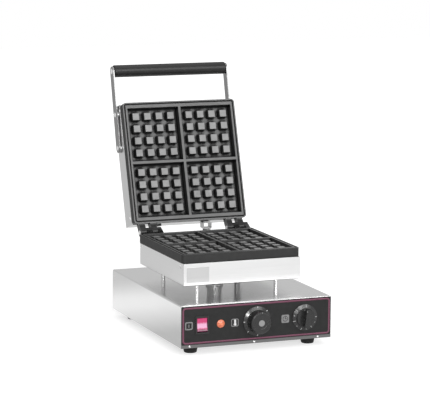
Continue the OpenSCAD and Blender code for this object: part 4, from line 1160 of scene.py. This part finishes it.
def softbox(name, place, target, width, height, power):
    """A rectangular lamp at a place, facing a target; metres and watts."""
    data = bpy.data.lights.new(name, "AREA")
    data.shape = "RECTANGLE"
    data.size = width
    data.size_y = height
    data.energy = power
    lamp = bpy.data.objects.new(name, data)
    lamp.location = place
    lamp.rotation_euler = (Vector(target) - Vector(place)).to_track_quat("-Z", "Y").to_euler()
    bpy.context.scene.collection.objects.link(lamp)


ROOM_FRONT, ROOM_BACK = 1.0, 0.62  # what metal mirrors of the room, before and behind it
ROOM_LIGHT = 0.45  # what the room sheds on the object


def world():
    """White to the camera and through glass, soft light on the object, and a room for metal."""
    studio = bpy.data.worlds.new("studio")
    bpy.context.scene.world = studio
    studio.use_nodes = True
    studio.node_tree.nodes.clear()
    nodes = Nodes(studio.node_tree)
    rays = nodes.add("ShaderNodeLightPath").outputs
    toward = nodes.parts(nodes.add("ShaderNodeTexCoord").outputs["Generated"])
    room = nodes.span(toward["Y"], -0.3, 0.7, ROOM_FRONT, ROOM_BACK)
    seen = nodes.larger(rays["Is Camera Ray"], rays["Is Transmission Ray"])
    level = nodes.first("ShaderNodeMix", {0: rays["Is Glossy Ray"], 2: ROOM_LIGHT, 3: room},
                        data_type="FLOAT")
    level = nodes.first("ShaderNodeMix", {0: seen, 2: level, 3: 1.0}, data_type="FLOAT")
    light = nodes.first("ShaderNodeBackground", {"Color": nodes.joined(level, level, level)})
    nodes.link(light, nodes.add("ShaderNodeOutputWorld").inputs["Surface"])


FLOOR_REACH = 6.0  # from the middle to each edge, in metres


def floor():
    """White floor that keeps the object's shadow, and that metal mirrors as a painted reflection
    with a bright band.
    """
    bm = bmesh.new()
    bmesh.ops.create_grid(bm, x_segments=1, y_segments=1, size=FLOOR_REACH)
    piece = new_object("studio_floor", bm)
    white = bpy.data.materials.new("floor_white")
    white.use_nodes = True
    white.node_tree.nodes.clear()
    nodes = Nodes(white.node_tree)
    place = nodes.add("ShaderNodeTexCoord").outputs["Object"]
    rays = nodes.add("ShaderNodeLightPath").outputs
    away = nodes.vector("LENGTH", place)["Value"]
    glow = nodes.first("ShaderNodeEmission", {"Strength": nodes.span(away, 0.6, 1.6, 0.68, 1.0)})
    lit = nodes.first("ShaderNodeBsdfDiffuse", {"Color": tone(0.5)})
    seen = nodes.add("ShaderNodeAddShader")
    nodes.link(glow, seen.inputs[0])
    nodes.link(lit, seen.inputs[1])
    # Painted reflection: glossy rays see the floor bright in front, dimmer under the object,
    # brightest in a band just behind its middle and dimmer to the rear; it lays the sheen on the
    # base's sides.
    depth = nodes.parts(place)["Y"]
    before = nodes.span(depth, -0.35, -0.15, 1.0, 0.62)
    under = nodes.span(depth, -0.02, 0.24, 0.0, 0.45)
    behind = nodes.span(depth, 0.32, 0.50, 0.0, -0.36)
    painted_reflection = nodes.first("ShaderNodeEmission", {
        "Strength": nodes.plus(before, nodes.plus(under, behind))})
    bounce = nodes.first("ShaderNodeBsdfDiffuse", {"Color": tone(0.85)})
    inner = nodes.first("ShaderNodeMixShader", {
        0: nodes.larger(rays["Is Glossy Ray"], rays["Is Transmission Ray"]),
        1: bounce, 2: painted_reflection})
    outer = nodes.first("ShaderNodeMixShader", {
        0: rays["Is Camera Ray"], 1: inner, 2: seen.outputs[0]})
    nodes.link(outer, nodes.add("ShaderNodeOutputMaterial").inputs["Surface"])
    piece.data.materials.append(white)


LAMPS = [
    # name, place, target, width, height, power
    ("front_right", (1.08, -2.37, 1.5), (0.0, 0.15, 0.3), 1.4, 1.4, 25.0),
    ("front_left", (-1.6, -2.2, 2.2), (0.0, 0.0, 0.2), 1.6, 1.2, 25.0),
    ("dial_side", (-0.85, -2.60, 0.78), (0.0, -0.26, 0.055), 0.36, 0.30, 22.0),
    ("timer_side", (0.22, -2.58, 1.19), (0.1, -0.26, 0.055), 0.50, 0.30, 8.0),
    ("overhead", (0.0, 0.2, 2.8), (0.0, 0.0, 0.2), 2.0, 2.0, 12.0),
]

camera()
world()
floor()
for lamp in LAMPS:
    softbox(*lamp)

bpy.context.scene.view_settings.view_transform = "Standard"
